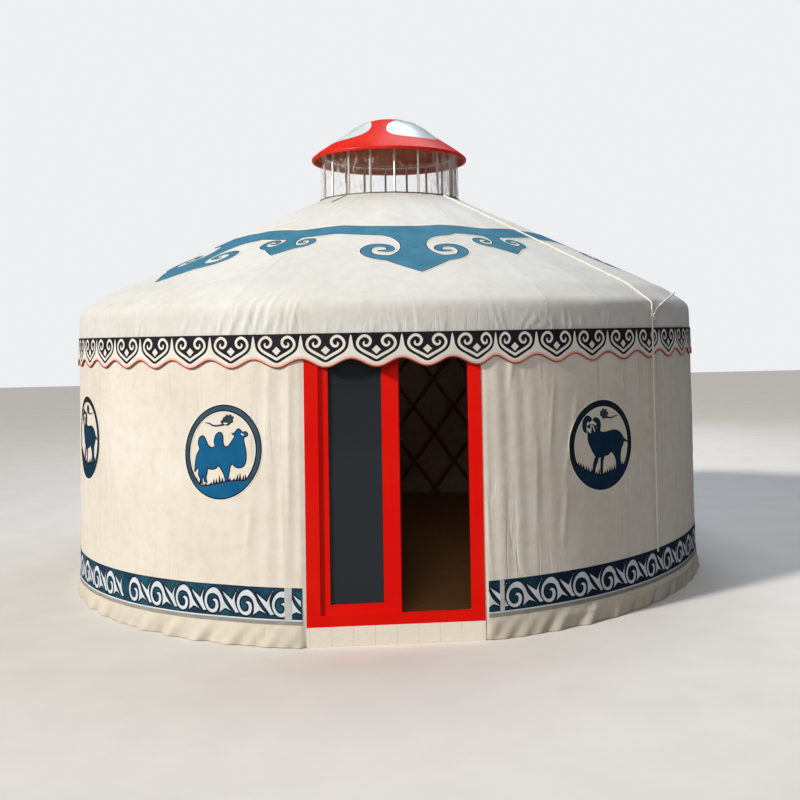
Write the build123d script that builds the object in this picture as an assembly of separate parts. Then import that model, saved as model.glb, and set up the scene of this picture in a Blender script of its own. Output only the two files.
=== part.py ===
from build123d import *

import os
from math import asin, atan, cos, degrees, pi, radians, sin, sqrt, tan

# A lattice-walled yurt, 4.5 m across, on a low timber deck. Millimetres, +Z up, the origin at the middle
# of the ground circle, the doorway facing -Y. An azimuth is an angle in degrees round the axis, 0 at the
# middle of the doorway and growing towards +X. The cloth lies flat from each pole to the next, so the
# covers are many-sided, and their radii are given at the corners.

# Covers
wall_radius = 2250.0
cover_thickness = 12.0
hem_height = 1690.0
roof_gores = 7
roof_slope = 25.3
shoulder_width = 158.0
shoulder_rise = 292.0
shoulder_slope = 36.0
eave_round = 60.0
eave_steps = 3

# Valance
valance_lap = 10.0
valance_drop = 178.0
valance_wave = 34.0
valance_thickness = 4.0
scallops = 51
valance_turn = -2.2
valance_nodes = 3
strips_per_node = 3

# Deck
deck_height = 106.0
board_thickness = 22.0
joist_width = 45.0
joist_pitch = 400.0
rim_width = 40.0

# Lattice walls and roof poles
lattice_sections = 8
flats_per_section = 4
lattice_rows = 6
slat_width = 36.0
slat_thickness = 10.0
horn_length = 45.0
pole_depth = 40.0
pole_width = 34.0
pole_nodes = 4
poles_over_door = 2

# Crown and lantern
lantern_radius = 539.0
lantern_height = 312.0
film_thickness = 3.0
crown_width = 78.0
crown_depth = 60.0
crown_margin = 8.0
lantern_bars = 18
lantern_turn = 4.0
bar_radius = 9.0
bar_inset = 8.0
top_ring_depth = 20.0
top_ring_width = 26.0
hoop_section = 8.0

# Cap
cap_overhang = 57.0
cap_sides = 36
cap_lip = 22.0
cap_rise = 303.0
cap_thickness = 6.0
cap_steps = ((1.0, 0.0), (0.72, 0.37), (0.36, 0.83), (0.15, 0.965), (0.04, 1.0))
pane_count = 4
pane_azimuth = 31.0
pane_centre_radius = 300.0
pane_half_length = 200.0
pane_half_width = 125.0
pane_sides = 16

# Door
door_width = 974.0
door_drop = 2.0
door_recess = 60.0
frame_depth = 100.0
frame_body = 35.0
jamb_lip = 76.0
lip_thickness = 14.0
sill_body = 20.0
sill_lip = 62.0
track_width = 6.0
track_height = 8.0
leaf_overlap = 56.0
leaf_thickness = 32.0
stile_width = 94.0
rail_height = 81.0
glass_thickness = 8.0
glass_bite = 8.0
roller_radius = 9.0
roller_width = 14.0
roller_inset = 90.0
plinth_thickness = 20.0

# Tie ropes
rope_radius = 6.0
rope_azimuths = (45.9, 225.9)
rope_end_height = 308.0
rope_bend = 70.0

# Clearances
seat = 0.3
running = 5.0

cover_inner_radius = wall_radius - cover_thickness
shoulder_radius = wall_radius - shoulder_width
shoulder_height = hem_height + shoulder_rise
valance_top = hem_height + valance_lap
door_top = hem_height - door_drop
door_face = wall_radius - door_recess
leaf_width = (door_width - 2 * frame_body + leaf_overlap) / 2
door_half = door_width / 2
door_edge = degrees(asin((door_half + seat) / (cover_inner_radius - 3 * slat_thickness)))
section_span = (360 - 2 * door_edge) / lattice_sections
flat_span = section_span / flats_per_section
flat_turn = radians(flat_span / 2)
floor_underside = deck_height - board_thickness
heads = [door_edge + n * flat_span for n in range(lattice_sections * flats_per_section + 1)]
over_door = [door_edge * (2 * (n + 1) / (poles_over_door + 1) - 1) for n in range(poles_over_door)]
corners = over_door + heads


def turned(shape, azimuth):
    """The shape made over +X, turned to an azimuth."""
    return Rot(0, 0, azimuth - 90) * shape


def side_face(points):
    """A face in the XZ plane from (radius, height) points."""
    return make_face(Plane.XZ * Polyline(*points, close=True))


def box_between(low, high):
    """A box given by its two corners."""
    size = [b - a for a, b in zip(low, high)]
    return Pos(*low) * Box(*size, align=(Align.MIN, Align.MIN, Align.MIN))


def wedge(half):
    """Everything within a half angle, in radians, either side of +X."""
    far = 2 * wall_radius
    spread = far * tan(half)
    return extrude(make_face(Polyline((0, 0), (far, -spread), (far, spread), close=True)), far)


def faceted(profile, azimuths):
    """A many-sided shell with one flat between each two azimuths. The profile function gives the side
    face for a flat whose radii are narrowed by a factor."""
    flats = []
    for start, end in zip(azimuths, azimuths[1:]):
        half = radians(end - start) / 2
        flat = extrude(profile(cos(half)), 1.1 * wall_radius * tan(half), both=True) & wedge(half)
        flats.append(turned(flat, (start + end) / 2))
    return flats[0] + flats[1:] if len(flats) > 1 else flats[0]


def plate(rim, thickness):
    """A flat plate with its corners at (radius, azimuth) pairs."""
    points = [(radius * sin(radians(azimuth)), -radius * cos(radians(azimuth))) for radius, azimuth in rim]
    return extrude(make_face(Polyline(*points, close=True)), thickness)


def pole_plate(radius, thickness):
    """A flat plate with a corner at each pole."""
    return plate([(radius, azimuth) for azimuth in corners], thickness)


def roof_line(offset):
    """The roof's slope and shoulder as (radius, height) points, moved inwards by an offset."""
    slope, steep = radians(roof_slope), radians(shoulder_slope)
    start = (lantern_radius + seat) / cos(flat_turn)
    kink_reach = offset / cos((steep - slope) / 2)
    kink_aim = (steep + slope) / 2
    kink = (shoulder_radius - kink_reach * sin(kink_aim), shoulder_height - kink_reach * cos(kink_aim))
    top = (start, kink[1] + (kink[0] - start) * tan(slope))
    eave_radius = wall_radius - offset
    eave = (eave_radius, kink[1] - (eave_radius - kink[0]) * tan(steep))
    return top, kink, eave


def rounded_line(offset, radius):
    """A roof line whose eave is rounded in equal steps, down to the hem."""
    top, kink, eave = roof_line(offset)
    turn = radians(90 - shoulder_slope)
    centre = (eave[0] - radius, eave[1] - radius * tan(turn / 2))
    aims = [turn * (1 - step / eave_steps) for step in range(eave_steps + 1)]
    bend = [(centre[0] + radius * cos(aim), centre[1] + radius * sin(aim)) for aim in aims]
    return [top, kink] + bend + [(eave[0], hem_height)]


def height_on(line, radius):
    """Height of a roof line at a radius, on its slope or its shoulder."""
    top, kink, eave = line
    high, low = (top, kink) if radius < kink[0] else (kink, eave)
    share = (radius - high[0]) / (low[0] - high[0])
    return high[1] + share * (low[1] - high[1])


def write(node, shape):
    """One node's STEP file."""
    export_step(shape, f"parts/{node}.step")


# A pole lies under a corner of the cover, whose flats fall away from it on both sides.
fall_away = pole_width / 2 * tan(flat_turn)
pole_drop = cover_thickness + seat + fall_away * sin(radians(shoulder_slope))
outer_line = roof_line(0)
inner_line = roof_line(cover_thickness)
pole_top_line = roof_line(pole_drop)
pole_under_line = roof_line(pole_drop + pole_depth)
cap_rim_height = outer_line[0][1] + lantern_height
cap_radius = lantern_radius + cap_overhang
crown_radius = lantern_radius + crown_margin
crown_top = height_on(pole_top_line, crown_radius / cos(flat_turn) ** 2)
lattice_radius = cover_inner_radius - seat
flat_outer = lattice_radius * cos(flat_turn)
lattice_inner_radius = lattice_radius - 2 * slat_thickness / cos(flat_turn)
head_height = height_on(pole_under_line, lattice_inner_radius)


def wall_covers():
    """Canvas over felt round the wall, down to the ground, in widths that stop at the door frame."""
    def profile(narrow):
        return side_face([(cover_inner_radius * narrow, 0), (wall_radius * narrow, 0),
                          (wall_radius * narrow, hem_height - seat),
                          (cover_inner_radius * narrow, hem_height - seat)])

    doorway = box_between((-door_half - seat, -wall_radius - 1, -1), (door_half + seat, 0, hem_height + 1))
    for k in range(lattice_sections):
        azimuths = heads[k * flats_per_section:(k + 1) * flats_per_section + 1]
        if k == 0:
            azimuths = over_door[-1:] + azimuths
        if k == lattice_sections - 1:
            azimuths = azimuths + [360 + over_door[0]]
        cover = faceted(profile, azimuths)
        if k in (0, lattice_sections - 1):
            cover -= doorway
        write(f"wall_cover_{k + 1}", cover)


def roof_covers():
    """Gores of the roof cover, from the lantern over the shoulder to the hem behind the valance."""
    outside = rounded_line(0, eave_round)
    inside = rounded_line(cover_thickness, eave_round - cover_thickness)

    def profile(narrow):
        return side_face([(radius * narrow, height) for radius, height in outside + inside[::-1]])

    per_gore = len(corners) // roof_gores
    around = [a - 360 for a in corners] + corners + [a + 360 for a in corners]
    middle = len(corners) - per_gore // 2
    for k in range(roof_gores):
        first = middle + k * per_gore
        write(f"roof_cover_{k + 1}", faceted(profile, around[first:first + per_gore + 1]))


def lobe_start(n):
    """Azimuth at which a lobe of the valance starts, counted from the door."""
    return (n - 0.5) * 360 / scallops + valance_turn


def valances():
    """Scalloped strips that hang from the hem, one flat lobe to each scallop."""
    half = pi / scallops
    inner = wall_radius + seat
    width = (inner + valance_thickness) * tan(half)
    low = valance_top - valance_drop
    edge = [(-width, low + valance_wave), (-0.72 * width, low + 0.72 * valance_wave),
            (-0.42 * width, low + 0.2 * valance_wave), (0, low)]
    edge += [(-across, height) for across, height in edge[-2::-1]]
    outline = edge + [(width, valance_top), (-width, valance_top)]
    face = make_face(Plane.YZ.offset(inner) * Polyline(*outline, close=True))
    lobe = extrude(face, valance_thickness, dir=(1, 0, 0)) & wedge(half)
    gap = box_between((0, -seat / 2, 0), (2 * wall_radius, seat / 2, 2 * valance_top))
    strips = valance_nodes * strips_per_node
    bounds = [round(scallops * k / strips) for k in range(strips + 1)]
    for node in range(valance_nodes):
        made = []
        for k in range(node * strips_per_node, (node + 1) * strips_per_node):
            lobes = [turned(lobe, lobe_start(n + 0.5)) for n in range(bounds[k], bounds[k + 1])]
            ends = [turned(gap, lobe_start(bounds[k])), turned(gap, lobe_start(bounds[k + 1]))]
            made.append((lobes[0] + lobes[1:]) - ends)
        write(f"valance_{node + 1}", Compound(made))


def floor():
    """Joists and rim under a boarded deck, both notched for the plinth under the door."""
    notch = box_between((-door_half - seat, -wall_radius, -1),
                        (door_half + seat, -door_face + plinth_thickness + seat, deck_height + 1))
    deck = Pos(0, 0, floor_underside) * pole_plate(lattice_radius, board_thickness)
    write("floor_deck", deck - notch)
    disc = pole_plate(lattice_radius, floor_underside)
    rim = disc - pole_plate(lattice_radius - rim_width, floor_underside)
    reach = int(lattice_radius / joist_pitch)
    joists = [box_between((k * joist_pitch - joist_width / 2, -lattice_radius, 0),
                          (k * joist_pitch + joist_width / 2, lattice_radius, floor_underside)) & disc
              for k in range(-reach, reach + 1)]
    doorstep = box_between((-door_half, -door_face + plinth_thickness + seat, 0),
                           (door_half, -door_face + plinth_thickness + rim_width, floor_underside))
    write("floor_frame", rim + joists - notch + doorstep)


def lattice_flat():
    """One flat of crossed slats over +X: two layers of slats, fused where they cross."""
    low = deck_height + horn_length
    rise = (head_height - horn_length - low) / lattice_rows
    slats = []
    for layer, lean in ((0, 1), (1, -1)):
        middle = flat_outer - (layer + 0.5) * slat_thickness
        step = middle * tan(flat_turn)
        slope = degrees(atan(rise / step))
        for row in range(-2, lattice_rows + 1, 2):
            slat = Box(slat_thickness, 4 * (step + rise), slat_width)
            slats.append(Pos(middle, 0, low + (row + 1) * rise) * Rot(lean * slope, 0, 0) * slat)
    clear = wedge(flat_turn - seat / 2 / flat_outer)
    height = head_height - deck_height
    band = Pos(0, 0, deck_height) * box_between((0, -wall_radius, 0), (wall_radius, wall_radius, height))
    return (slats[0] + slats[1:]) & (clear & band)


def lattice_walls():
    """Eight lattice walls, each of flats that follow the cover."""
    flat = lattice_flat()
    for k in range(lattice_sections):
        start = door_edge + k * section_span
        flats = [turned(flat, start + (n + 0.5) * flat_span) for n in range(flats_per_section)]
        write(f"lattice_wall_{k + 1}", Compound(flats))


def roof_poles():
    """Poles from the crown ring, bent at the shoulder, with a level seat on the lattice heads."""
    corner_reach = (eave_round - cover_thickness) * tan(radians(90 - shoulder_slope) / 2)
    nose = cover_inner_radius - corner_reach * cos(radians(shoulder_slope)) - fall_away
    foot = cover_inner_radius - seat - fall_away
    foot_top = inner_line[2][1] - corner_reach
    start = crown_radius + seat
    face = side_face([(start, height_on(pole_top_line, start)), pole_top_line[1],
                      (nose, height_on(pole_top_line, nose)), (foot, foot_top),
                      (foot, head_height + seat), (lattice_inner_radius, head_height + seat),
                      pole_under_line[1], (start, height_on(pole_under_line, start))])
    pole = extrude(face, pole_width / 2, both=True)
    for k in range(pole_nodes):
        share = corners[k * len(corners) // pole_nodes:(k + 1) * len(corners) // pole_nodes]
        write(f"roof_poles_{k + 1}", Compound([turned(pole, azimuth) for azimuth in share]))


def crown():
    """Crown ring with a flat for each pole, and the lantern's bars, film, top ring and base hoop."""
    def ring_plate(apothem):
        gaps = zip(corners, corners[1:] + [corners[0] + 360])
        return plate([(apothem / cos(radians(b - a) / 2), (a + b) / 2) for a, b in gaps], crown_depth)

    ring = ring_plate(crown_radius) - ring_plate(crown_radius - crown_width)
    write("crown_ring", Pos(0, 0, crown_top - crown_depth) * ring)
    base = crown_top + seat
    bar_circle = lantern_radius * cos(pi / lantern_bars) - film_thickness - bar_inset - bar_radius
    ring_outer = bar_circle + top_ring_width / 2
    ring_top = cap_underside(ring_outer)
    bar = extrude(RegularPolygon(bar_radius, 6), ring_top - top_ring_depth - seat - base)
    bars = [turned(Pos(bar_circle, 0, base) * bar, n * 360 / lantern_bars + lantern_turn)
            for n in range(lantern_bars)]
    write("lantern_bars", Compound(bars))
    write("lantern_top_ring", lantern_band(ring_outer - top_ring_width, ring_outer,
                                           ring_top - top_ring_depth, ring_top))
    write("lantern_film", lantern_band(lantern_radius - film_thickness, lantern_radius,
                                       base, cap_underside(lantern_radius)))
    hoop_low = outer_line[0][1] + seat
    write("lantern_hoop", lantern_band(lantern_radius + seat, lantern_radius + seat + hoop_section,
                                       hoop_low, hoop_low + hoop_section))


def lantern_band(inner, outer, low, high):
    """A ring with a corner at each lantern bar."""
    ring = (extrude(RegularPolygon(outer, lantern_bars), high - low)
            - extrude(RegularPolygon(inner, lantern_bars), high - low))
    return turned(Pos(0, 0, low) * ring, lantern_turn)


def cap_outline_height(radius):
    """Height of the cap's outer corners at a radius."""
    base = cap_rim_height + cap_lip
    for (far, low), (near, high) in zip(cap_steps, cap_steps[1:]):
        if radius >= near * cap_radius:
            share = (far * cap_radius - radius) / ((far - near) * cap_radius)
            return base + cap_rise * (low + share * (high - low))
    return base + cap_rise


def cap_skin_drop():
    """The cap's thickness measured upright on its lowest band."""
    (far, low), (near, high) = cap_steps[:2]
    slope = (high - low) * cap_rise / ((far - near) * cap_radius)
    return cap_thickness * sqrt(1 + slope * slope)


def cap_underside(radius):
    """The highest that a ring of a radius reaches under the cap."""
    return cap_outline_height(radius / cos(pi / cap_sides)) - cap_skin_drop() - seat


def cap_prism(radius, low, high):
    """A prism with the cap's sides."""
    return Pos(0, 0, low) * extrude(RegularPolygon(radius, cap_sides), high - low)


def cap_bands():
    """The cap's solid form over its rim, a stack of tapered bands."""
    base = cap_rim_height + cap_lip
    bands = []
    for (far, low), (near, high) in zip(cap_steps, cap_steps[1:]):
        height = (high - low) * cap_rise
        lean = degrees(atan((far - near) * cap_radius * cos(pi / cap_sides) / height))
        band = extrude(RegularPolygon(far * cap_radius, cap_sides), height, taper=lean)
        bands.append(Pos(0, 0, base + low * cap_rise) * band)
    return bands[0] + bands[1:]


def cap():
    """Bell-shaped cap with a turned-down lip, and its four clear panes."""
    base = cap_rim_height + cap_lip
    form = cap_bands()
    drop = cap_skin_drop()
    inner = cap_radius - cap_thickness
    hollow = (Pos(0, 0, -drop) * form) & cap_prism(inner, cap_rim_height, base + cap_rise)
    hollow += cap_prism(inner, cap_rim_height, base - drop)
    shell = form + cap_prism(cap_radius, cap_rim_height, base) - hollow
    windows, panes = [], []
    for n in range(pane_count):
        azimuth = pane_azimuth + n * 360 / pane_count
        for shapes, inset in ((windows, 0), (panes, seat)):
            size = (pane_half_width - inset, pane_half_length - inset, 1)
            cutter = extrude(scale(RegularPolygon(1, pane_sides), size), 2 * cap_rise)
            shapes.append(turned(Pos(pane_centre_radius, 0, cap_rim_height) * cutter, azimuth))
    write("cap_panes", Compound([pane & shell for pane in panes]))
    write("cap_shell", shell - windows)


def leaf(left, front):
    """A glazed leaf with its frame and glass, given its left edge and its front face."""
    low = deck_height + sill_body + track_height + running
    high = door_top - sill_body - running
    back = front + leaf_thickness
    frame = box_between((left, front, low), (left + leaf_width, back, high))
    frame -= box_between((left + stile_width, front - 1, low + rail_height),
                         (left + leaf_width - stile_width, back + 1, high - rail_height))
    middle = (front + back) / 2
    half_glass = glass_thickness / 2
    stile_in, rail_in = stile_width - glass_bite, rail_height - glass_bite
    glass_low = (left + stile_in, middle - half_glass, low + rail_in)
    glass_high = (left + leaf_width - stile_in, middle + half_glass, high - rail_in)
    frame -= box_between([c - seat for c in glass_low], [c + seat for c in glass_high])
    groove = track_width / 2 + running
    frame -= box_between((left - 1, middle - groove, high - track_height),
                         (left + leaf_width + 1, middle + groove, high + 1))
    wheel = Rot(90, 0, 0) * Cylinder(roller_radius, roller_width)
    axle = low - running + seat + roller_radius
    for x in (left + roller_inset, left + leaf_width - roller_inset):
        frame += Pos(x, middle, axle) * wheel
    return frame, box_between(glass_low, glass_high)


def door():
    """Door frame with two tracks, the fixed leaf in the front one and the sliding leaf behind it."""
    front, back = -door_face, -door_face + frame_depth
    lip_back = front + lip_thickness
    body = door_half - frame_body
    lip = door_half - jamb_lip
    for name, side in (("door_jamb_left", -1), ("door_jamb_right", 1)):
        jamb = box_between((body, front, deck_height), (door_half, back, door_top))
        jamb += box_between((lip, front, deck_height), (body, lip_back, door_top))
        write(name, jamb if side > 0 else mirror(jamb, Plane.YZ))
    fixed_front = lip_back + seat
    sliding_front = fixed_front + leaf_thickness + running
    low, high = deck_height, deck_height + sill_body
    sill = box_between((-body + seat, lip_back, low), (body - seat, back, high))
    sill += box_between((-lip + seat, front, low), (lip - seat, lip_back, low + sill_lip))
    head = box_between((-body + seat, lip_back, door_top - sill_body), (body - seat, back, door_top))
    head += box_between((-lip + seat, front, door_top - sill_lip), (lip - seat, lip_back, door_top))
    for leaf_front in (fixed_front, sliding_front):
        y = leaf_front + leaf_thickness / 2
        sill += box_between((-body + seat, y - track_width / 2, high),
                            (body - seat, y + track_width / 2, high + track_height))
        head += box_between((-body + seat, y - track_width / 2, door_top - sill_body - track_height),
                            (body - seat, y + track_width / 2, door_top - sill_body))
    write("door_sill", sill)
    write("door_head", head)
    for name, left, leaf_front in (("fixed_leaf", -body + seat, fixed_front),
                                   ("sliding_leaf", -body + running, sliding_front)):
        frame, glass = leaf(left, leaf_front)
        write(f"{name}_frame", frame)
        write(f"{name}_glass", glass)
    lintel = box_between((-door_half, -wall_radius, door_top), (door_half, back, head_height))
    write("door_lintel", lintel & pole_plate(lattice_radius, head_height))
    plinth_back = front + plinth_thickness
    write("door_plinth", box_between((-door_half, front, 0), (door_half, plinth_back, deck_height)))


def flat_share(azimuth, azimuths):
    """Radius of a many-sided shell at an azimuth, as a share of its radius at the corners."""
    start, end = [(a, b) for a, b in zip(azimuths, azimuths[1:]) if a <= azimuth <= b][0]
    return cos(radians(end - start) / 2) / cos(radians(azimuth - (start + end) / 2))


def tie_ropes():
    """Taut ropes from the lantern hoop over the roof and down the outside of the wall."""
    lobe_corners = [lobe_start(n) for n in range(scallops + 1)]
    valance_radius = (wall_radius + seat + valance_thickness) / cos(pi / scallops)
    steep = tan(radians(shoulder_slope))
    for name, azimuth in zip(("tie_rope_front", "tie_rope_back"), rope_azimuths):
        share = flat_share(azimuth, corners + [corners[0] + 360])
        top, kink, eave = [(radius * share, height) for radius, height in roof_line(-rope_radius - seat)]
        start = lantern_radius + 2 * hoop_section
        out = valance_radius * flat_share(azimuth, lobe_corners) + seat + rope_radius
        points = [(start, height_on((top, kink, eave), start)), kink,
                  (out, kink[1] - (out - kink[0]) * steep), (out, rope_end_height)]
        path = FilletPolyline(*[(radius, 0, height) for radius, height in points], radius=rope_bend)
        outline = RegularPolygon(rope_radius, 6, major_radius=False)
        rope = sweep(Plane(origin=path @ 0, x_dir=(0, 1, 0), z_dir=path % 0) * outline, path)
        write(name, turned(rope, azimuth))


os.makedirs("parts", exist_ok=True)
floor()
lattice_walls()
roof_poles()
crown()
cap()
wall_covers()
roof_covers()
valances()
door()
tie_ropes()
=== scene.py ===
from functools import partial
from math import cos, pi, radians, sin, tan

import bmesh
import bpy
import numpy as np
from mathutils import Matrix, Vector
from mathutils.geometry import delaunay_2d_cdt


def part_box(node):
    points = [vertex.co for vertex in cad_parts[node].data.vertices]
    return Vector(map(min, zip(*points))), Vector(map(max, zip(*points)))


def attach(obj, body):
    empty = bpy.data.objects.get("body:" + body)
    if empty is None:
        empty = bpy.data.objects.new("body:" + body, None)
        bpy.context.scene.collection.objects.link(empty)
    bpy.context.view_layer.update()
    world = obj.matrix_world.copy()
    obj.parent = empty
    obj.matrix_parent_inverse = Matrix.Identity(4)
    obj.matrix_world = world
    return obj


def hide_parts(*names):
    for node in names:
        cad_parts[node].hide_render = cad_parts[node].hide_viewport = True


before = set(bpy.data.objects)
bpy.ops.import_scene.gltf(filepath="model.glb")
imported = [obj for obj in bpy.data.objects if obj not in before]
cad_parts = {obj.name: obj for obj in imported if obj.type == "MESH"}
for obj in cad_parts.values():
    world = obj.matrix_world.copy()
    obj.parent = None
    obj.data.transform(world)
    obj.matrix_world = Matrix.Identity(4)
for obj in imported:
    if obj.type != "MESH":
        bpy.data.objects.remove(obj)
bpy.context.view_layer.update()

# A yurt in cream canvas with blue printed ornament. Metres, +Z up, the doorway facing -Y.
# An azimuth is in degrees round the axis, 0 at the middle of the doorway and growing towards +X.

scene = bpy.context.scene
scene.view_settings.view_transform = "Standard"


def report(text):
    print("yurt:", text)


def selectNone():
    if bpy.context.object and bpy.context.object.mode != "OBJECT":
        bpy.ops.object.mode_set(mode="OBJECT")
    for piece in bpy.context.selected_objects:
        piece.select_set(False)


def workOn(piece):
    selectNone()
    bpy.context.view_layer.objects.active = piece
    piece.select_set(True)


def toLinear(hexColour):
    parts = [int(hexColour[k:k + 2], 16) / 255 for k in (1, 3, 5)]
    return [c / 12.92 if c <= 0.04045 else ((c + 0.055) / 1.055) ** 2.4 for c in parts] + [1.0]


def addNode(tree, kind, settings):
    # a setting is a ramp's stops, the node or socket that feeds an input, a property, or an input's own value
    node = tree.nodes.new("ShaderNode" + kind)
    for key, value in settings.items():
        if key == "stops":
            for stop, (place, colour) in zip(node.color_ramp.elements, value):
                stop.position = place
                stop.color = toLinear(colour)
        elif isinstance(value, (bpy.types.Node, bpy.types.NodeSocket)):
            tree.links.new(getattr(value, "outputs", [value])[0], node.inputs[key])
        elif isinstance(key, str) and key not in node.inputs:
            setattr(node, key, value)
        else:
            node.inputs[key].default_value = toLinear(value) if isinstance(value, str) else value
    return node


def newFinish(name):
    finish = bpy.data.materials.new(name)
    finish.use_nodes = True
    finish.node_tree.nodes.clear()
    return finish, finish.node_tree


def objectPlace(tree, axis=None):
    # the object's own coordinates, or one of them
    place = addNode(tree, "TexCoord", {}).outputs["Object"]
    return place if axis is None else addNode(tree, "SeparateXYZ", {0: place}).outputs[axis]


def noise(tree, scale, detail=2.0, rough=0.5, twist=0.0, over=None):
    return addNode(tree, "TexNoise", {"Scale": scale, "Detail": detail, "Roughness": rough,
                                      "Distortion": twist, "Vector": over or objectPlace(tree)})


def ramp(tree, source, low, first, high, last):
    return addNode(tree, "ValToRGB", {"stops": [(low, first), (high, last)], 0: source})


def remap(tree, source, low, high, first=0.0, last=1.0, curve="LINEAR"):
    return addNode(tree, "MapRange", {"interpolation_type": curve, "From Min": low, "From Max": high,
                                      "To Min": first, "To Max": last, "Value": source})


def combine(tree, operation, *terms):
    return addNode(tree, "Math", {"operation": operation, **dict(enumerate(terms))})


def blend(tree, share, under, over, kind="MIX"):
    mix = addNode(tree, "Mix", {"data_type": "RGBA", "blend_type": kind, 0: share, 6: under, 7: over})
    return mix.outputs[2]


def bump(tree, height, strength, distance, under=None):
    laid = {"Normal": under} if under else {}
    return addNode(tree, "Bump", {"Strength": strength, "Distance": distance, "Height": height, **laid})


def byCamera(tree, unseen, seen):
    # one look for the camera and another for the light
    ray = addNode(tree, "LightPath", {}).outputs["Is Camera Ray"]
    return addNode(tree, "MixShader", {0: ray, 1: unseen, 2: seen})


def surfaced(finish, tree, settings):
    addNode(tree, "OutputMaterial", {"Surface": addNode(tree, "BsdfPrincipled", settings)})
    return finish


def grainFinish(name, grain, tones, relief, settings):
    # colour and relief both follow one noise
    finish, tree = newFinish(name)
    patch = noise(tree, *grain)
    normal = {"Normal": bump(tree, patch, *relief)} if relief else {}
    return surfaced(finish, tree, {**settings, "Base Color": ramp(tree, patch, *tones), **normal})


def makePiece(name, points, faces, cut=None, slots=None):
    mesh = bpy.data.meshes.new(name)
    mesh.from_pydata(np.asarray(points).tolist(), [], np.asarray(faces).tolist())
    if cut is not None:  # the cloth's own flat coordinates, in metres
        corners = np.zeros(len(mesh.loops), int)
        mesh.loops.foreach_get("vertex_index", corners)
        mesh.uv_layers.new(name="Cut").data.foreach_set("uv", np.asarray(cut)[corners].ravel())
    if slots is not None:
        mesh.polygons.foreach_set("material_index", np.asarray(slots, int))
    piece = bpy.data.objects.new(name, mesh)
    scene.collection.objects.link(piece)
    return piece


def editAll(piece, operator, **settings):
    # one mesh operator on the whole of a piece
    workOn(piece)
    bpy.ops.object.mode_set(mode="EDIT")
    bpy.ops.mesh.select_all(action="SELECT")
    operator(**settings)
    bpy.ops.object.mode_set(mode="OBJECT")


def smoothPiece(piece, degrees):
    workOn(piece)
    bpy.ops.object.shade_smooth_by_angle(angle=radians(degrees))
    selectNone()


def finishPiece(piece, body, slotName, finishes, smoothTo=40):
    if smoothTo:
        smoothPiece(piece, smoothTo)
    piece.data.materials.clear()
    for finish in finishes:
        piece.data.materials.append(finish)
    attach(piece, body)
    return piece


def applyModifier(piece, kind, **settings):
    workOn(piece)
    modifier = piece.modifiers.new(kind.title(), kind)
    for key, value in settings.items():
        setattr(modifier, key, value)
    bpy.ops.object.modifier_apply(modifier=modifier.name)
    selectNone()


def thicken(piece, thickness):
    applyModifier(piece, "SOLIDIFY", thickness=thickness, offset=-1)


# ---- Camera and light

view = {"place": (0.0, -7.5569, 1.6815), "yaw": 4.5239, "pitch": 2.0227, "roll": -1.0640,
        "lens": 43.66, "shiftAcross": -0.0855, "shiftUp": -0.1254}
light = {"keyAzimuth": -61.0, "keyHeight": 34.0, "keySoft": 6.0, "keyPower": 3.30, "keyColour": "#FFF8EE",
         "topPlace": (2.0, 1.6, 9.0), "topSize": 6.0, "topPower": 290, "topColour": "#EEF5FF",
         "fillPlace": (-1.2, -10.5, 5.2), "fillSize": 4.0, "fillPower": 170, "fillColour": "#FFF3E6",
         "backPlace": (2.5, 9.5, 5.0), "backSize": 4.0, "backPower": 150, "backColour": "#F2F6FF",
         "skyColour": "#F6F7F9", "skyStrength": 0.10, "backdropStrength": 0.93,
         "floorBounce": "#A4A5A8"}


def setCamera():
    yaw, pitch, roll = (radians(view[k]) for k in ("yaw", "pitch", "roll"))
    ahead, side, up = map(Vector, ((sin(yaw), cos(yaw), 0), (cos(yaw), -sin(yaw), 0), (0, 0, 1)))
    look = ahead * cos(pitch) + up * sin(pitch)
    lift = up * cos(pitch) - ahead * sin(pitch)
    right = side * cos(roll) + lift * sin(roll)
    top = lift * cos(roll) - side * sin(roll)
    turn = Matrix((right, top, -look)).transposed().to_4x4()
    data = bpy.data.cameras.new("Camera")
    data.sensor_width, data.lens = 36, view["lens"]
    data.shift_x, data.shift_y = view["shiftAcross"], view["shiftUp"]
    camera = bpy.data.objects.new("Camera", data)
    camera.matrix_world = Matrix.Translation(view["place"]) @ turn
    scene.collection.objects.link(camera)
    scene.camera = camera


def setLights():
    # one low key from the left, a soft top light, and weak fills before and behind
    for name in ("key", "top", "fill", "back"):
        data = bpy.data.lights.new(name.title(), "SUN" if name == "key" else "AREA")
        data.energy, data.color = light[name + "Power"], toLinear(light[name + "Colour"])[:3]
        lamp = bpy.data.objects.new(name.title(), data)
        if name == "key":
            data.angle = radians(light["keySoft"])
            turn, height = radians(light["keyAzimuth"]), radians(light["keyHeight"])
            lamp.location = Vector((sin(turn) * cos(height), -cos(turn) * cos(height), sin(height))) * 12
        else:
            data.shape, data.size = "DISK", light[name + "Size"]
            lamp.location = light[name + "Place"]
        lamp.rotation_euler = (Vector((0, 0, 1.4)) - lamp.location).to_track_quat("-Z", "Y").to_euler()
        lamp.visible_glossy = name != "back"  # it only rims the cloth
        scene.collection.objects.link(lamp)
    # a dim room round a bright backdrop
    world = bpy.data.worlds.new("Studio")
    world.use_nodes = True
    tree = world.node_tree
    tree.nodes.clear()
    room, backdrop = (addNode(tree, "Background", {"Color": light["skyColour"], "Strength": light[strength]})
                      for strength in ("skyStrength", "backdropStrength"))
    addNode(tree, "OutputWorld", {"Surface": byCamera(tree, room, backdrop)})
    scene.world = world


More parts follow.
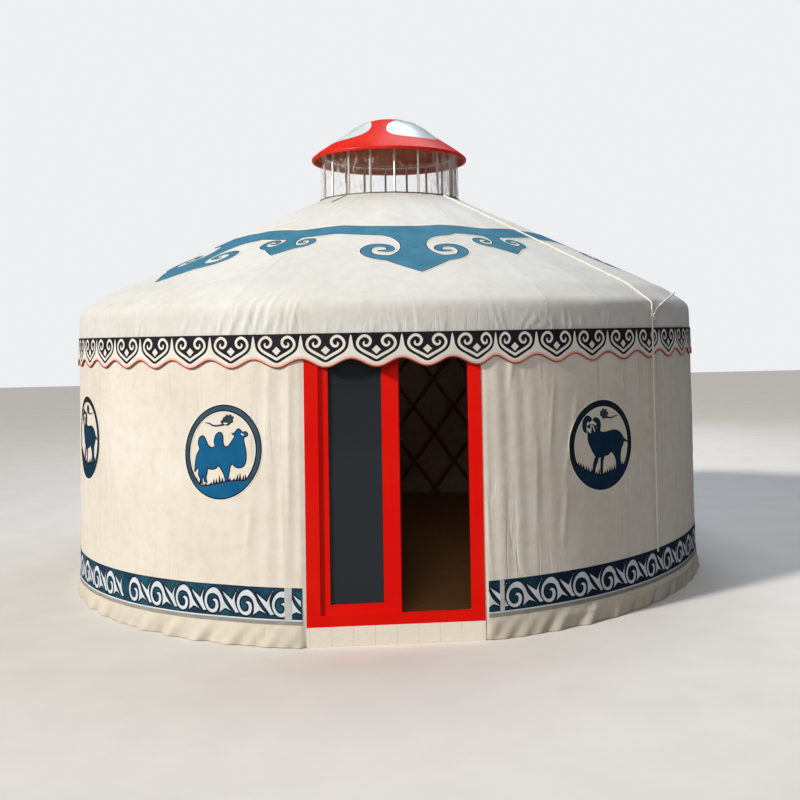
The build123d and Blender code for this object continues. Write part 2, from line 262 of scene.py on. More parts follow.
def makeFloor():
    finish, tree = newFinish("Studio floor, matt white paint")
    shade = ramp(tree, noise(tree, 3.0, 4.0), 0.3, "#E9E9E8", 0.7, "#EFEFEE")
    paint = addNode(tree, "BsdfPrincipled", {"Roughness": 0.9, "Base Color": shade})
    # it throws less light back than it shows, as a small floor in a dark room would
    dim = addNode(tree, "BsdfDiffuse", {"Color": light["floorBounce"]})
    addNode(tree, "OutputMaterial", {"Surface": byCamera(tree, dim, paint)})
    selectNone()
    bpy.ops.mesh.primitive_plane_add(size=60, location=(0, 0, -0.0006))
    floor = bpy.context.object
    floor.name = "StudioFloor"
    floor.data.materials.append(finish)
    selectNone()


setCamera()
setLights()
makeFloor()
report("camera, lights and floor set")


# ---- Finishes

weave = {"canvas": 200.0, "print": 220.0, "strength": 0.25, "depth": 0.0008}


def canvasFinish(name, pale, dark, stain, crumple, pleats=None):
    # Proofed cotton canvas, woven: matt, softly uneven in tone, with slack crumples and pulled creases.
    # The thread is near 0.8 mm; it is drawn coarser so that it shows.
    finish, tree = newFinish(name)
    tone = ramp(tree, noise(tree, 1.3, 5.0, 0.6), 0.35, dark, 0.62, pale)
    speck = ramp(tree, noise(tree, 14.0, 6.0, 0.7), 0.30, "#EEEAE2", 0.55, "#FFFFFF")
    spoiled = blend(tree, 0.5, tone, speck, "MULTIPLY")
    # splashed earth near the ground
    low = remap(tree, objectPlace(tree, 2), 0.22, 0.0)
    shade = blend(tree, combine(tree, "MULTIPLY", low, noise(tree, 5.0, 6.0, 0.65)), spoiled, stain)
    fold = bump(tree, noise(tree, 4.5, 4.0, 0.55, 0.8), 0.75, crumple)
    if pleats:
        # narrow creases along the pull of the cloth, strongest where it is gathered, their grooves darkened
        # with painted shade
        flat = addNode(tree, "TexCoord", {}).outputs["UV"]
        pulled = addNode(tree, "Mapping", {"Scale": (pleats["across"], pleats["up"], 1.0),
                                           "Rotation": (0.0, 0.0, radians(pleats["lean"])), 0: flat})
        strain = noise(tree, 1.0, 2.5, 0.45, 0.25, pulled)
        away = combine(tree, "ABSOLUTE", combine(tree, "SUBTRACT", strain, 0.5))
        valley = remap(tree, away, 0.0, pleats["width"], curve="SMOOTHSTEP")
        up = addNode(tree, "SeparateXYZ", {0: flat}).outputs[1]
        held = remap(tree, up, pleats["to"], pleats["from"], pleats["least"], curve="SMOOTHSTEP")
        leftward = remap(tree, objectPlace(tree, 0), 0.6, -0.9, pleats["right"])
        patchy = combine(tree, "MULTIPLY", leftward, remap(tree, noise(tree, 1.6), 0.44, 0.62, 0.05))
        reach = combine(tree, "MULTIPLY", held, patchy)
        deep = combine(tree, "MULTIPLY", valley, reach)
        fold = bump(tree, deep, 1.0, pleats["depth"], fold)
        # painted shade: a darker colour laid along the crease grooves
        paintedCreaseShade = remap(tree, combine(tree, "SUBTRACT", reach, deep), 0.0, 1.0, 0.0, pleats["soilAndCreaseShade"])
        shade = blend(tree, paintedCreaseShade, shade, pleats["creaseShadeColour"])
    thread = bump(tree, noise(tree, weave["canvas"]), weave["strength"], weave["depth"], fold)
    return surfaced(finish, tree, {"Roughness": 0.82, "Sheen Weight": 0.08, "IOR": 1.45, "Base Color": shade,
                                   "Normal": thread})


def printFinish(name, colour, worn, rough=0.7, paintedShadeColour=None):
    # Pigment printed on cotton, flat and matt, a little rubbed where the cloth is creased.
    # A darker colour is painted in towards +X, on the side away from the key light: painted shade.
    finish, tree = newFinish(name)
    shade = ramp(tree, noise(tree, 9.0, 6.0, 0.65), 0.38, colour, 0.75, worn)
    if paintedShadeColour:
        # painted shade: the print darkens towards +X
        shade = blend(tree, remap(tree, objectPlace(tree, 0), 0.1, 1.1, 0.0, 0.85), shade, paintedShadeColour)
    thread = bump(tree, noise(tree, weave["print"]), weave["strength"], weave["depth"])
    return surfaced(finish, tree, {"Roughness": rough, "Specular IOR Level": 0.1, "Base Color": shade,
                                   "Normal": thread})


# in the pleats, the share and colour for the crease grooves are painted shade
wallCanvas = canvasFinish("Wall canvas, woven cotton", "#ECE8DF", "#E2DCD1", "#B9AE97", 0.006, pleats={
    "across": 9.0, "up": 0.75, "lean": 3.0, "width": 0.05, "depth": 0.0032, "to": -0.2, "from": 1.7,
    "least": 0.35, "right": 1.0, "soilAndCreaseShade": 0.28, "creaseShadeColour": "#CBC4B4"})
roofCanvas = canvasFinish("Roof canvas, woven cotton", "#E6E9E8", "#DDDEDB", "#C9C0AC", 0.006, pleats={
    "across": 17.0, "up": 3.4, "lean": -9.0, "width": 0.10, "depth": 0.0034, "to": 0.21, "from": 0.03,
    "least": 0.0, "right": 0.25, "soilAndCreaseShade": 0.20, "creaseShadeColour": "#C2BCAE"})

prints = {
    "blue": ("Blue print on cotton", "#0A5B8C", "#1A6A97"),
    "sky": ("Sky blue print on cotton", "#3A7B9B", "#518CA8"),
    "outline": ("Dark outline print on cotton", "#27313B", "#3B4650"),
    "black": ("Black field print on cotton", "#1A1A22", "#2C2B33"),
    "white": ("White print on cotton", "#F0EFEA", "#DEDBD2"),
    "grey": ("Grey stripe print on cotton", "#8F8F89", "#A3A29A"),
    "slate": ("Slate blue print on cotton", "#30485A", "#496072"),
    # the next two are darker copies of the slate and blue prints, used on the rams as painted shade
    "ramShadedSlate": ("Slate print darkened as painted shade, rams", "#18222C", "#26323C"),
    "ramShadedBlue": ("Blue print darkened as painted shade, rams", "#0B2C47", "#163B57"),
    "cloud": ("Dark slate print on cotton", "#2C3B48", "#41505C"),
    "pale": ("Pale margin print on cotton", "#F4F3EC", "#E7E4DA"),
    # the band's ground; its last colour is painted shade, mixed in towards +X
    "deep": ("Deep blue print on cotton", "#173450", "#266474", 0.7, "#0E1A30"),
    "cool": ("Cool white print on cotton", "#DCE6F0", "#C2CEDC"),
    "ink": ("Blue-black print on cotton", "#121C2A", "#1C2A36"),
    "tape": ("Tape, bleached cotton twill", "#C9CCCC", "#AEB2B3"),
    "piping": ("Piping cord, red dyed cotton", "#A8443A", "#B8604F"),
    "stain": ("Hem tinted by the piping dye", "#E6BFB3", "#EBD2C8")}
inks = {key: printFinish(*row) for key, row in prints.items()}
report("cloth finishes made")


# ---- Cloth surfaces

# a crease is (azimuth, height, azimuth, height, depth in mm, width in mm)
# a hanging fold is (azimuth, azimuth, height, height, depth)
wall = {"radius": 2.249, "low": 0.0032, "top": 1.6885, "doorEdge": 12.52, "thickness": 0.006,
        "fineStep": 0.25, "coarseStep": 0.52, "fineTo": 92, "rows": (17, 34), "doorFolds": 0.0022,
        "pullWidth": 9.0, "foldPitch": 2.7, "foldLean": 1.3, "edgeRoll": 0.009, "edgeWidth": 0.5,
        "edgeReach": 1.5, "slack": 0.0014, "skirtTop": 0.127, "skirtFlare": 0.004, "skirtFolds": 0.023,
        "hangFold": (24.0, 84.0, 0.062, 0.112, 0.0065), "hangEdges": (0.020, 0.006),
        "creases": ((28.3, 1.31, 25.4, 0.82, 4.0, 13), (24.2, 1.45, 22.9, 0.95, 2.6, 12),
                    (21.0, 1.10, 20.6, 0.55, 2.2, 14), (26.0, 0.80, 25.0, 0.45, 2.4, 14),
                    (17.6, 1.66, 16.6, 1.35, 5.0, 12), (19.4, 1.66, 19.0, 1.40, 4.0, 11),
                    (21.4, 1.66, 21.8, 1.42, 3.5, 11), (-17.5, 1.62, -18.3, 0.95, 3.0, 15),
                    (-20.5, 0.75, -21.5, 0.45, 4.0, 16), (-14.6, 1.60, -14.9, 0.50, 3.5, 14),
                    (-16.0, 0.95, -15.6, 0.40, 3.0, 13))}
roof = {"radius": 2.250, "hem": 1.690, "kink": (2.092, 1.982), "top": (0.5415, 2.7149), "slope": 25.3,
        "eaveRound": 0.060, "shoulderSlope": 36.0, "thickness": 0.006, "slack": 0.0026, "gathers": 196,
        "gatherDepth": 0.0082, "ridgeShare": 0.7, "hemReach": 0.30, "sewn": 0.035, "fineTo": 100,
        "fineStep": 0.222, "coarseCount": 300,
        "creases": ((-48.5, -.02, -47.2, .11, 3.0, 11), (-32.4, -.02, -30.7, .15, 4.0, 12),
                    (-29.4, -.02, -27.6, .17, 4.0, 12), (-25.9, -.02, -24.0, .18, 4.0, 12),
                    (-23.9, -.02, -22.0, .17, 3.5, 11), (-21.7, -.02, -20.0, .15, 4.0, 12),
                    (-18.7, -.02, -16.0, .17, 4.5, 12), (-15.3, -.02, -14.0, .26, 4.0, 12),
                    (-14.5, -.02, -12.9, .26, 4.0, 12), (-9.5, -.02, -9.0, .08, 3.5, 9),
                    (-5.8, -.01, -0.6, .09, 4.5, 12), (-7.9, -.01, -7.0, .07, 3.5, 9),
                    (-3.0, -.01, -2.4, .05, 3.5, 8), (1.0, -.01, 0.6, .055, 3.5, 8),
                    (4.2, -.01, 4.9, .05, 3.5, 8), (7.5, -.01, 7.2, .06, 3.5, 8),
                    (10.5, -.01, 9.8, .05, 3.5, 8), (15.8, -.02, 14.1, .16, 4.5, 11),
                    (16.6, -.02, 15.4, .13, 4.5, 11), (17.7, -.01, 20.6, .13, 3.5, 11),
                    (18.4, -.02, 22.4, .11, 5.5, 13), (19.1, -.02, 24.4, .08, 5.5, 13),
                    (26.3, -.02, 26.0, .13, 3.5, 10), (27.6, -.02, 27.2, .10, 3.5, 10),
                    (29.0, -.02, 29.3, .08, 3.5, 10), (33.5, -.02, 34.3, .15, 4.5, 10),
                    (34.8, -.02, 35.0, .14, 4.5, 10))}
poles = {"first": 12.755, "pitch": 10.4528, "heads": 33, "overDoor": 4.252}

rng = np.random.default_rng(11)


def slackWaves(count, around, upwards):
    # random low waves round the cloth: (cycles round, radians per metre up, phase, share)
    return [(int(rng.integers(*around)), rng.uniform(-upwards, upwards), rng.uniform(0, 2 * pi),
             rng.uniform(0.5, 1.0)) for _ in range(count)]


def addWaves(waves, azimuth, up):
    turn = np.radians(azimuth)
    total = sum(share * np.sin(n * turn + k * up + phase) for n, k, phase, share in waves)
    return total / sum(share for *_, share in waves) ** 0.5


wallWaves = slackWaves(10, (5, 34), 2.6)
skirtWaves = [(n, -0.42 * n * share, phase, share) for n, _, phase, share in slackWaves(8, (40, 130), 26)]
roofWaves = slackWaves(12, (3, 22), 5.5)
leanWaves = slackWaves(4, (2, 11), 0)
phaseWaves = slackWaves(6, (5, 40), 0)
depthWaves = slackWaves(6, (3, 26), 0)


def atAzimuth(azimuth, radius, height):
    turn = np.radians(azimuth)
    radius, height = np.broadcast_arrays(radius, height)
    return np.stack([radius * np.sin(turn), -radius * np.cos(turn), height + 0 * turn], -1)


def wrapped(azimuth):
    return (np.asarray(azimuth, float) + 180) % 360 - 180


def pulledCreases(creases, azimuth, height):
    # straight pulled creases, each from one place on the cloth to another
    turn, rise = wrapped(azimuth), np.zeros_like(azimuth)
    for startTurn, startHeight, endTurn, endHeight, depth, width in creases:
        share = np.clip((startHeight - height) / (startHeight - endHeight), -0.2, 1.2)
        off = radians(1) * wall["radius"] * 1000 * (turn - startTurn - share * (endTurn - startTurn))
        fade = np.clip((share + 0.05) / 0.25, 0, 1) * np.clip((1.05 - share) / 0.35, 0, 1)
        rise += depth / 1000 * fade * np.exp(-(off / width) ** 2)
    return rise


def wallPoint(azimuth, height, lift=0.0):
    azimuth, height = np.broadcast_arrays(np.asarray(azimuth, float) % 360, np.asarray(height, float))
    fromDoor = 180 - np.abs(azimuth - 180) - wall["doorEdge"]
    pull = np.exp(-(fromDoor / wall["pullWidth"]) ** 2)
    wave = np.sin(2 * pi * fromDoor / wall["foldPitch"] + wall["foldLean"] * height + 0.6)
    folds = wall["doorFolds"] * pull * wave * np.clip(height / 0.5, 0, 1)
    slack = wall["slack"] * addWaves(wallWaves, azimuth, height)
    roll = -wall["edgeRoll"] * np.exp(-(fromDoor / wall["edgeWidth"]) ** 2)
    down = np.clip((wall["skirtTop"] - height) / wall["skirtTop"], 0, 1)
    loose = 0.5 + 0.5 * addWaves(skirtWaves, azimuth, height)
    skirt = wall["skirtFlare"] * down ** 1.4 + wall["skirtFolds"] * down * loose
    # on the right the skirt folds over itself along the hem
    first, last, startHeight, endHeight, depth = wall["hangFold"]
    share = np.clip((azimuth - first) / (last - first), 0, 1)
    off = height - startHeight - share * (endHeight - startHeight) - 0.006 * np.sin(np.radians(azimuth) * 17)
    above, below = wall["hangEdges"]
    fold = np.exp(-np.where(off > 0, off / above, off / below) ** 2)
    skirt = skirt + depth * np.sin(pi * share) ** 0.5 * fold
    skirt = skirt * np.clip(fromDoor / wall["edgeReach"], 0, 1)
    out = folds + slack + roll + pulledCreases(wall["creases"], azimuth, height) + skirt
    return atAzimuth(azimuth, wall["radius"] + out + lift, height)


def roofLine():
    # the roof's outer line from the hem up to the lantern, with its distance along the cloth
    kinkRadius, kinkHeight = roof["kink"]
    steep = radians(roof["shoulderSlope"])
    eaveHeight = kinkHeight - (roof["radius"] - kinkRadius) * tan(steep)
    reach = roof["eaveRound"] * tan((pi / 2 - steep) / 2)
    centre = (roof["radius"] - roof["eaveRound"], eaveHeight - reach)
    bend = [(centre[0] + roof["eaveRound"] * cos(a), centre[1] + roof["eaveRound"] * sin(a))
            for a in np.linspace(0, pi / 2 - steep, 9)]
    corners = np.array([(roof["radius"], roof["hem"]), *bend, roof["kink"], roof["top"]])
    along = np.concatenate([[0], np.cumsum(np.hypot(*np.diff(corners, axis=0).T))])
    fine = np.arange(0, along[-1], 0.004)
    line = np.stack([np.interp(fine, along, corners[:, k]) for k in (0, 1)], -1)
    reach = np.arange(-12, 13)
    soften = np.exp(-(reach / 6.0) ** 2)
    before, after = line[:1] - line[1:13], line[-1:] - line[-13:-1]
    padded = np.concatenate([line[:1] + before[::-1], line, line[-1:] + after[::-1]])
    line = np.stack([np.convolve(padded[:, k], soften / soften.sum(), "valid") for k in (0, 1)], -1)
    slope = np.gradient(line, axis=0)
    out = np.stack([slope[:, 1], -slope[:, 0]], -1)
    return fine, line, out / np.hypot(*out.T)[:, None]


lineAlong, lineAt, lineOut = roofLine()
poleAzimuths = np.array([-poles["overDoor"], poles["overDoor"]]
                        + [poles["first"] + n * poles["pitch"] for n in range(poles["heads"])]
                        + [360 - poles["overDoor"]])


def flatShare(azimuth):
    # how far a flat from pole to pole falls inside the circle, as a share of its radius
    azimuth = (azimuth + poles["overDoor"]) % 360 - poles["overDoor"]
    k = np.clip(np.searchsorted(poleAzimuths, azimuth) - 1, 0, len(poleAzimuths) - 2)
    start, end = poleAzimuths[k], poleAzimuths[k + 1]
    return np.cos(np.radians((end - start) / 2)) / np.cos(np.radians(azimuth - (start + end) / 2))


def roofPoint(azimuth, along, lift=0.0):
    azimuth, along = np.broadcast_arrays(np.asarray(azimuth, float), np.asarray(along, float))
    radius, height = (np.interp(along, lineAlong, lineAt[:, k]) for k in (0, 1))
    outRadius, outHeight = (np.interp(along, lineAlong, lineOut[:, k]) for k in (0, 1))
    atHem = np.exp(-(along / roof["hemReach"]) ** 2)
    ridge = roof["ridgeShare"] * (1 - 0.75 * atHem)
    radius = radius * (1 - ridge * (1 - flatShare(azimuth)))
    free = (1 - atHem) * np.clip((2.05 - along) / 0.3, 0, 1)
    slack = roof["slack"] * addWaves(roofWaves, azimuth, along) * free
    # gathers, pinched where the cloth is sewn to the valance and fanning out over the shoulder
    turn = wrapped(azimuth)
    leftward = np.clip(-turn / 20, 0, 1) * np.clip((turn + 180) / 40, 0, 1)
    lean = azimuth + (6.0 * addWaves(leanWaves, azimuth, 0) - 9.0 * leftward) * along
    phase = np.radians(lean) * roof["gathers"] / 2 + 1.9 * addWaves(phaseWaves, lean, 0)
    depth = 0.42 + 0.25 * leftward + 0.62 * addWaves(depthWaves, azimuth, 0)
    depth = roof["gatherDepth"] * np.clip(depth, 0.05 + 0.25 * leftward, 1.25)
    spread = 0.024 + 0.125 * np.clip(0.30 + 0.75 * addWaves(depthWaves, azimuth + 97, 0), 0, 1) ** 2
    sewn = np.clip(along / roof["sewn"], 0.15, 1)
    gather = depth * sewn * np.exp(-(along / spread / 1.6) ** 2) * ((1 - np.abs(np.sin(phase))) ** 1.3 - 0.35)
    out = slack + gather + pulledCreases(roof["creases"], azimuth, along) * sewn + lift
    return atAzimuth(azimuth, radius + outRadius * out, height + outHeight * out)


def gridFaces(rows, columns):
    low = (np.arange(rows - 1)[:, None] * columns + np.arange(columns - 1)[None, :]).ravel()
    return np.stack([low, low + 1, low + columns + 1, low + columns], -1)


# ---- Printed ornament: outlines in flat cloth coordinates, cut into triangles and laid on the cloth

def smoothRun(points, steps=5):
    # a smooth line through the points; each may carry a width as a third number
    points = np.array(points, float)
    if len(points) < 3:
        return points
    ends = np.vstack([2 * points[0] - points[1], points, 2 * points[-1] - points[-2]])
    t = np.linspace(0, 1, steps, endpoint=False)[:, None]
    parts = [b + (c - a) * t / 2 + (a - 2.5 * b + 2 * c - d / 2) * t ** 2
             + (1.5 * (b - c) + (d - a) / 2) * t ** 3
             for a, b, c, d in zip(ends, ends[1:], ends[2:], ends[3:])]
    return np.vstack(parts + [points[-1:]])


def joinRuns(*runs):
    # a closed outline of smooth runs that meet in corners, each from the end of the one before
    return np.vstack([smoothRun([runs[k - 1][-1], *run])[:-1] for k, run in enumerate(runs)])


def strokeLoop(line, grow=0.0, steps=5):
    # the outline of a brush stroke through (x, y, width) points
    line = smoothRun(line, steps)
    along = np.gradient(line[:, :2], axis=0)
    along /= np.hypot(*along.T)[:, None] + 1e-9
    side = np.stack([-along[:, 1], along[:, 0]], -1)
    half = np.maximum(line[:, 2:], 0.5) / 2 + grow
    caps, turns = [], np.linspace(0, pi, 6)[1:-1, None]
    for at, sign in ((-1, 1), (0, -1)):
        caps.append(line[at, :2] + half[at] * sign * (np.cos(turns) * side[at] + np.sin(turns) * along[at]))
    return np.vstack([line[:, :2] + side * half, caps[0], (line[:, :2] - side * half)[::-1], caps[1]])


def grownLoop(loop, grow):
    loop = np.asarray(loop, float)
    along = np.roll(loop, -1, 0) - np.roll(loop, 1, 0)
    along /= np.hypot(*along.T)[:, None] + 1e-9
    area = np.sum(loop[:, 0] * np.roll(loop[:, 1], -1) - loop[:, 1] * np.roll(loop[:, 0], -1))
    return loop + np.sign(area) * grow * np.stack([along[:, 1], -along[:, 0]], -1)


def dividedLoop(loop, longest):
    # the same outline with its long edges divided, so that the print can follow the cloth
    parts = []
    for a, b in zip(loop, np.roll(loop, -1, 0)):
        count = max(1, int(np.ceil(np.hypot(*(b - a)) / longest)))
        parts.append(a + (b - a) * np.arange(count)[:, None] / count)
    return np.vstack(parts)


def insideLoop(points, loop):
    found = np.zeros(len(points), bool)
    near = np.all((points >= loop.min(0)) & (points <= loop.max(0)), axis=1)
    x, y = points[near, 0, None], points[near, 1, None]
    a, b = loop, np.roll(loop, -1, 0)
    left = (b[:, 0] - a[:, 0]) * (y - a[:, 1]) - (x - a[:, 0]) * (b[:, 1] - a[:, 1])
    rising = (a[:, 1] <= y) & (b[:, 1] > y) & (left > 0)
    falling = (a[:, 1] > y) & (b[:, 1] <= y) & (left < 0)
    found[near] = (rising.sum(1) - falling.sum(1)) != 0
    return found


def cutPrint(shapes, spacing):
    # shapes are (colour slot, outline), later ones over earlier ones; slot -1 cuts a hole
    points, edges = [], []
    shapes = [(slot, dividedLoop(np.asarray(loop, float), 0.8 * spacing)) for slot, loop in shapes]
    for slot, loop in shapes:
        start, count = len(points), len(loop)
        points.extend(map(tuple, loop))
        edges.extend((start + k, start + (k + 1) % count) for k in range(count))
    low, high = np.min(points, axis=0), np.max(points, axis=0)
    lines = [np.arange(a + spacing / 2, b, spacing) for a, b in zip(low, high)]
    spare = np.stack(np.meshgrid(*lines), -1).reshape(-1, 2)
    used = np.zeros(len(spare), bool)
    for slot, loop in shapes:
        used |= insideLoop(spare, loop)
    points.extend(map(tuple, spare[used]))
    flat, _, faces, *_ = delaunay_2d_cdt([Vector(p) for p in points], edges, [], 0, 1e-7)
    flat = np.array([tuple(p) for p in flat])
    faces = np.array([tuple(f) for f in faces])
    middle = flat[faces].mean(1)
    slots = np.full(len(faces), -1)
    for slot, loop in shapes:
        slots[insideLoop(middle, loop)] = slot
    a, b, c = (flat[faces[:, k]] for k in range(3))
    turned = (b[:, 0] - a[:, 0]) * (c[:, 1] - a[:, 1]) - (b[:, 1] - a[:, 1]) * (c[:, 0] - a[:, 0]) < 0
    faces[turned] = faces[turned][:, ::-1]
    return keptFaces(flat, faces, slots, slots >= 0)


def keptFaces(flat, faces, slots, keep):
    kept, faces = np.unique(faces[keep], return_inverse=True)
    return flat[kept], faces.reshape(-1, 3), slots[keep]


def layPrint(name, cuts, slotName, finishes, thickness=0.0009, smoothTo=45):
    # cuts are (points on the cloth, faces, slots); all become one thin printed piece
    points, faces, slots, start = [], [], [], 0
    for at, face, slot in cuts:
        points.append(at)
        faces.append(face + start)
        slots.append(slot)
        start += len(at)
    piece = makePiece(name, np.vstack(points), np.vstack(faces), slots=np.concatenate(slots))
    editAll(piece, bpy.ops.mesh.remove_doubles, threshold=0.00008)
    thicken(piece, thickness)
    slotOf = np.zeros(len(piece.data.polygons), int)
    piece.data.polygons.foreach_get("material_index", slotOf)
    finishPiece(piece, "yurt", slotName, finishes, smoothTo)
    piece.data.polygons.foreach_set("material_index", slotOf)
    return piece


def clothSheet(name, turn, up, place, radius):
    # rows of points over the azimuths, with the cloth's flat coordinates
    azimuth, height = np.meshgrid(turn, up)
    cut = np.stack([np.radians(azimuth) * radius, height], -1).reshape(-1, 2)
    return makePiece(name, place(azimuth, height).reshape(-1, 3), gridFaces(len(up), len(turn)), cut)


def makeWall():
    first, last = wall["doorEdge"], wall["fineTo"]
    fine = np.arange(first, last, wall["fineStep"])
    turn = np.concatenate([fine, np.arange(last, 360 - last, wall["coarseStep"]), 360 - fine[::-1]])
    skirtRows, rows = wall["rows"]
    up = np.concatenate([np.linspace(wall["low"], wall["skirtTop"], skirtRows)[:-1],
                         np.linspace(wall["skirtTop"], wall["top"], rows)])
    piece = clothSheet("WallCanvas", turn, up, wallPoint, wall["radius"])
    thicken(piece, wall["thickness"])
    finishPiece(piece, "yurt", "canvas", [wallCanvas])
    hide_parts(*[f"wall_cover_{k}" for k in range(1, 9)])
    return piece


def finishRing(piece, slotName, finish, thickness, smoothTo):
    # a sheet that closes on itself, joined before it is thickened
    editAll(piece, bpy.ops.mesh.remove_doubles, threshold=0.0002)
    finishPiece(piece, "yurt", slotName, [finish], 0)
    thicken(piece, thickness)
    smoothPiece(piece, smoothTo)


def makeRoof():
    fine = np.arange(-roof["fineTo"], roof["fineTo"] + 0.01, roof["fineStep"])
    turn = np.concatenate([fine, np.linspace(fine[-1], fine[0] + 360, roof["coarseCount"])[1:]])
    # closer rows where the cloth turns over the eave
    along = np.concatenate([[0, 0.012, 0.03, 0.05], np.linspace(0.07, 0.42, 15),
                            np.linspace(0.48, lineAlong[-1], 21)])
    piece = clothSheet("RoofCanvas", turn, along, roofPoint, roof["radius"])
    finishRing(piece, "canvas", roofCanvas, roof["thickness"], 50)
    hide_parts(*[f"roof_cover_{k}" for k in range(1, 8)])
    return piece


wallPiece = makeWall()
roofPiece = makeRoof()
report("wall and roof canvas made")


# ---- Valance

# a joint is (first azimuth, last azimuth, shift of what lies beyond)
valance = {"radius": 2.2562, "top": 1.700, "lobes": 51, "turn": -2.2, "thickness": 0.002, "middleDrop": 0.161,
           "wave": 0.0228, "flutter": 0.004, "pipingRadius": 0.0042, "dyeEdge": 14.0,
           "joints": ((11.5, 19.0, -1.35), (22.0, 38.0, -0.80))}
valanceWaves = slackWaves(8, (9, 70), 3)


def valancePoint(azimuth, drop, lift=0.0):
    azimuth, drop = np.broadcast_arrays(np.asarray(azimuth, float), np.asarray(drop, float))
    swing = np.clip(drop / 0.16, 0, 1.2)
    out = valance["flutter"] * swing * (0.35 + 0.5 * addWaves(valanceWaves, azimuth, drop)) + 0.0012 * swing
    return atAzimuth(azimuth, valance["radius"] + np.maximum(out, -0.0005) + lift, valance["top"] - drop)


def jointShift(azimuth):
    # the strip is joined near the door's right side, and the lobes beyond the joint stand a little nearer
    turn = wrapped(azimuth)
    shift = np.zeros_like(turn)
    for first, last, change in valance["joints"]:
        share = np.clip((turn - first) / (last - first), 0, 1) * np.clip((165 - turn) / 60, 0, 1)
        shift += change * share * share * (3 - 2 * share)
    return shift


def printedLobe():
    # one lobe in millimetres, x from its middle and y up from the top edge
    half = 1000 * pi * valance["radius"] / valance["lobes"]
    hem = [(x, -1000 * (valance["middleDrop"] + valance["wave"] * cos(pi * x / half)))
           for x in np.linspace(-half, half, 29)]
    fieldHalf = smoothRun([(12, -157), (34, -145), (64, -127), (91, -112), (111, -96), (124, -74), (129, -49),
                           (132.5, -28), (137, -11)], 3)
    field = np.vstack([[(0, -159)], fieldHalf, [(half, -11), (half, 0), (-half, 0), (-half, -11)],
                       (fieldHalf * (-1, 1))[::-1]])
    arm = [(0, -138, 15), (34, -119, 15), (68, -101, 15), (93, -82, 15), (103, -60, 15), (97, -38, 15),
           (82, -23, 15), (63, -17, 15), (43, -25, 15), (32, -43, 15), (37, -61, 15), (50, -71, 14),
           (64, -69, 12), (70, -58, 10), (66, -50, 6)]
    dyed = hem + [(x, y + valance["dyeEdge"]) for x, y in hem[::-1]]
    return cutPrint([(0, [(half, 0), (-half, 0)] + hem), (2, dyed), (1, field), (0, strokeLoop(arm, steps=4)),
                     (0, strokeLoop([(-x, y, w) for x, y, w in arm], steps=4)),
                     (0, [(0, -69), (25, -93), (0, -117), (-25, -93)])], 26)


def lobeCuts(tile):
    flat, faces, slots = tile
    around = np.degrees(flat[:, 0] / 1000 / valance["radius"])
    for n in range(valance["lobes"]):
        azimuth = valance["turn"] + n * 360 / valance["lobes"] + around
        yield valancePoint(azimuth + jointShift(azimuth), -flat[:, 1] / 1000), faces, slots


def tubeRings(line, side, up, radius, sides):
    turn = np.arange(sides)[:, None] * 2 * pi / sides
    return line[:, None] + radius * (np.cos(turn) * side[:, None] + np.sin(turn) * up[:, None])


def makePiping():
    # a round cord along the wavy hem
    sides, count = 8, valance["lobes"] * 18
    azimuth = valance["turn"] + np.arange(count) * 360 / count
    waves = valance["wave"] * np.cos(np.radians((azimuth - valance["turn"]) * valance["lobes"]))
    drop = valance["middleDrop"] + waves + 0.001
    line = valancePoint(azimuth + jointShift(azimuth), drop, -valance["thickness"] / 2)
    along = np.roll(line, -1, 0) - np.roll(line, 1, 0)
    along /= np.linalg.norm(along, axis=1)[:, None]
    out = atAzimuth(azimuth, 1.0, 0.0)
    rings = tubeRings(line, out, np.cross(out, along), valance["pipingRadius"], sides)
    here, ahead = np.arange(count)[:, None] * sides, (np.arange(count)[:, None] + 1) % count * sides
    low, high = np.arange(sides), (np.arange(sides) + 1) % sides
    faces = np.stack([here + low, here + high, ahead + high, ahead + low], -1).reshape(-1, 4)
    piece = makePiece("ValancePiping", rings.reshape(-1, 3), faces)
    editAll(piece, bpy.ops.mesh.normals_make_consistent, inside=False)
    return finishPiece(piece, "yurt", "valance_cloth", [inks["piping"]], 80)


def makeValance():
    piece = layPrint("ValanceCloth", lobeCuts(printedLobe()), "valance_cloth",
                     [inks[key] for key in ("white", "black", "stain")], valance["thickness"])
    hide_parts("valance_1", "valance_2", "valance_3")
    return piece


valancePiece = makeValance()
pipingPiece = makePiping()
report("valance made")


# ---- Band round the foot of the wall

band = {"pitch": 213.0, "top": 320.6, "low": 150.0, "whiteLow": 142.0, "stripeLow": 121.0, "lift": 0.0016,
        "leftFirst": 344.03, "leftStep": 5.42, "leftCount": 30, "seamAfter": 6, "seamExtra": 1.9,
        "rightFirst": 17.15, "rightStep": 5.50, "rightCount": 30, "leftEnd": 346.94, "rightEnd": 13.06,
        "inkLine": 7.5, "whiteGrow": -1.6, "sag": 0.040, "sagSides": (240, 335),
        "tapes": ((344.40, 345.45), (14.72, 15.36)), "tapeTop": 322.0, "tapeLow": 147.0, "tapeLift": 0.0028}


def box(left, low, right, high):
    return [(left, low), (right, low), (right, high), (left, high)]


def bandGround(start, end):
    low, top = band["low"], band["top"]
    return [(2, box(start, band["stripeLow"], end, band["whiteLow"])),
            (1, box(start, band["whiteLow"], end, low)), (3, box(start, low, end, top)),
            (0, box(start, low + 5, end, top - 5))]


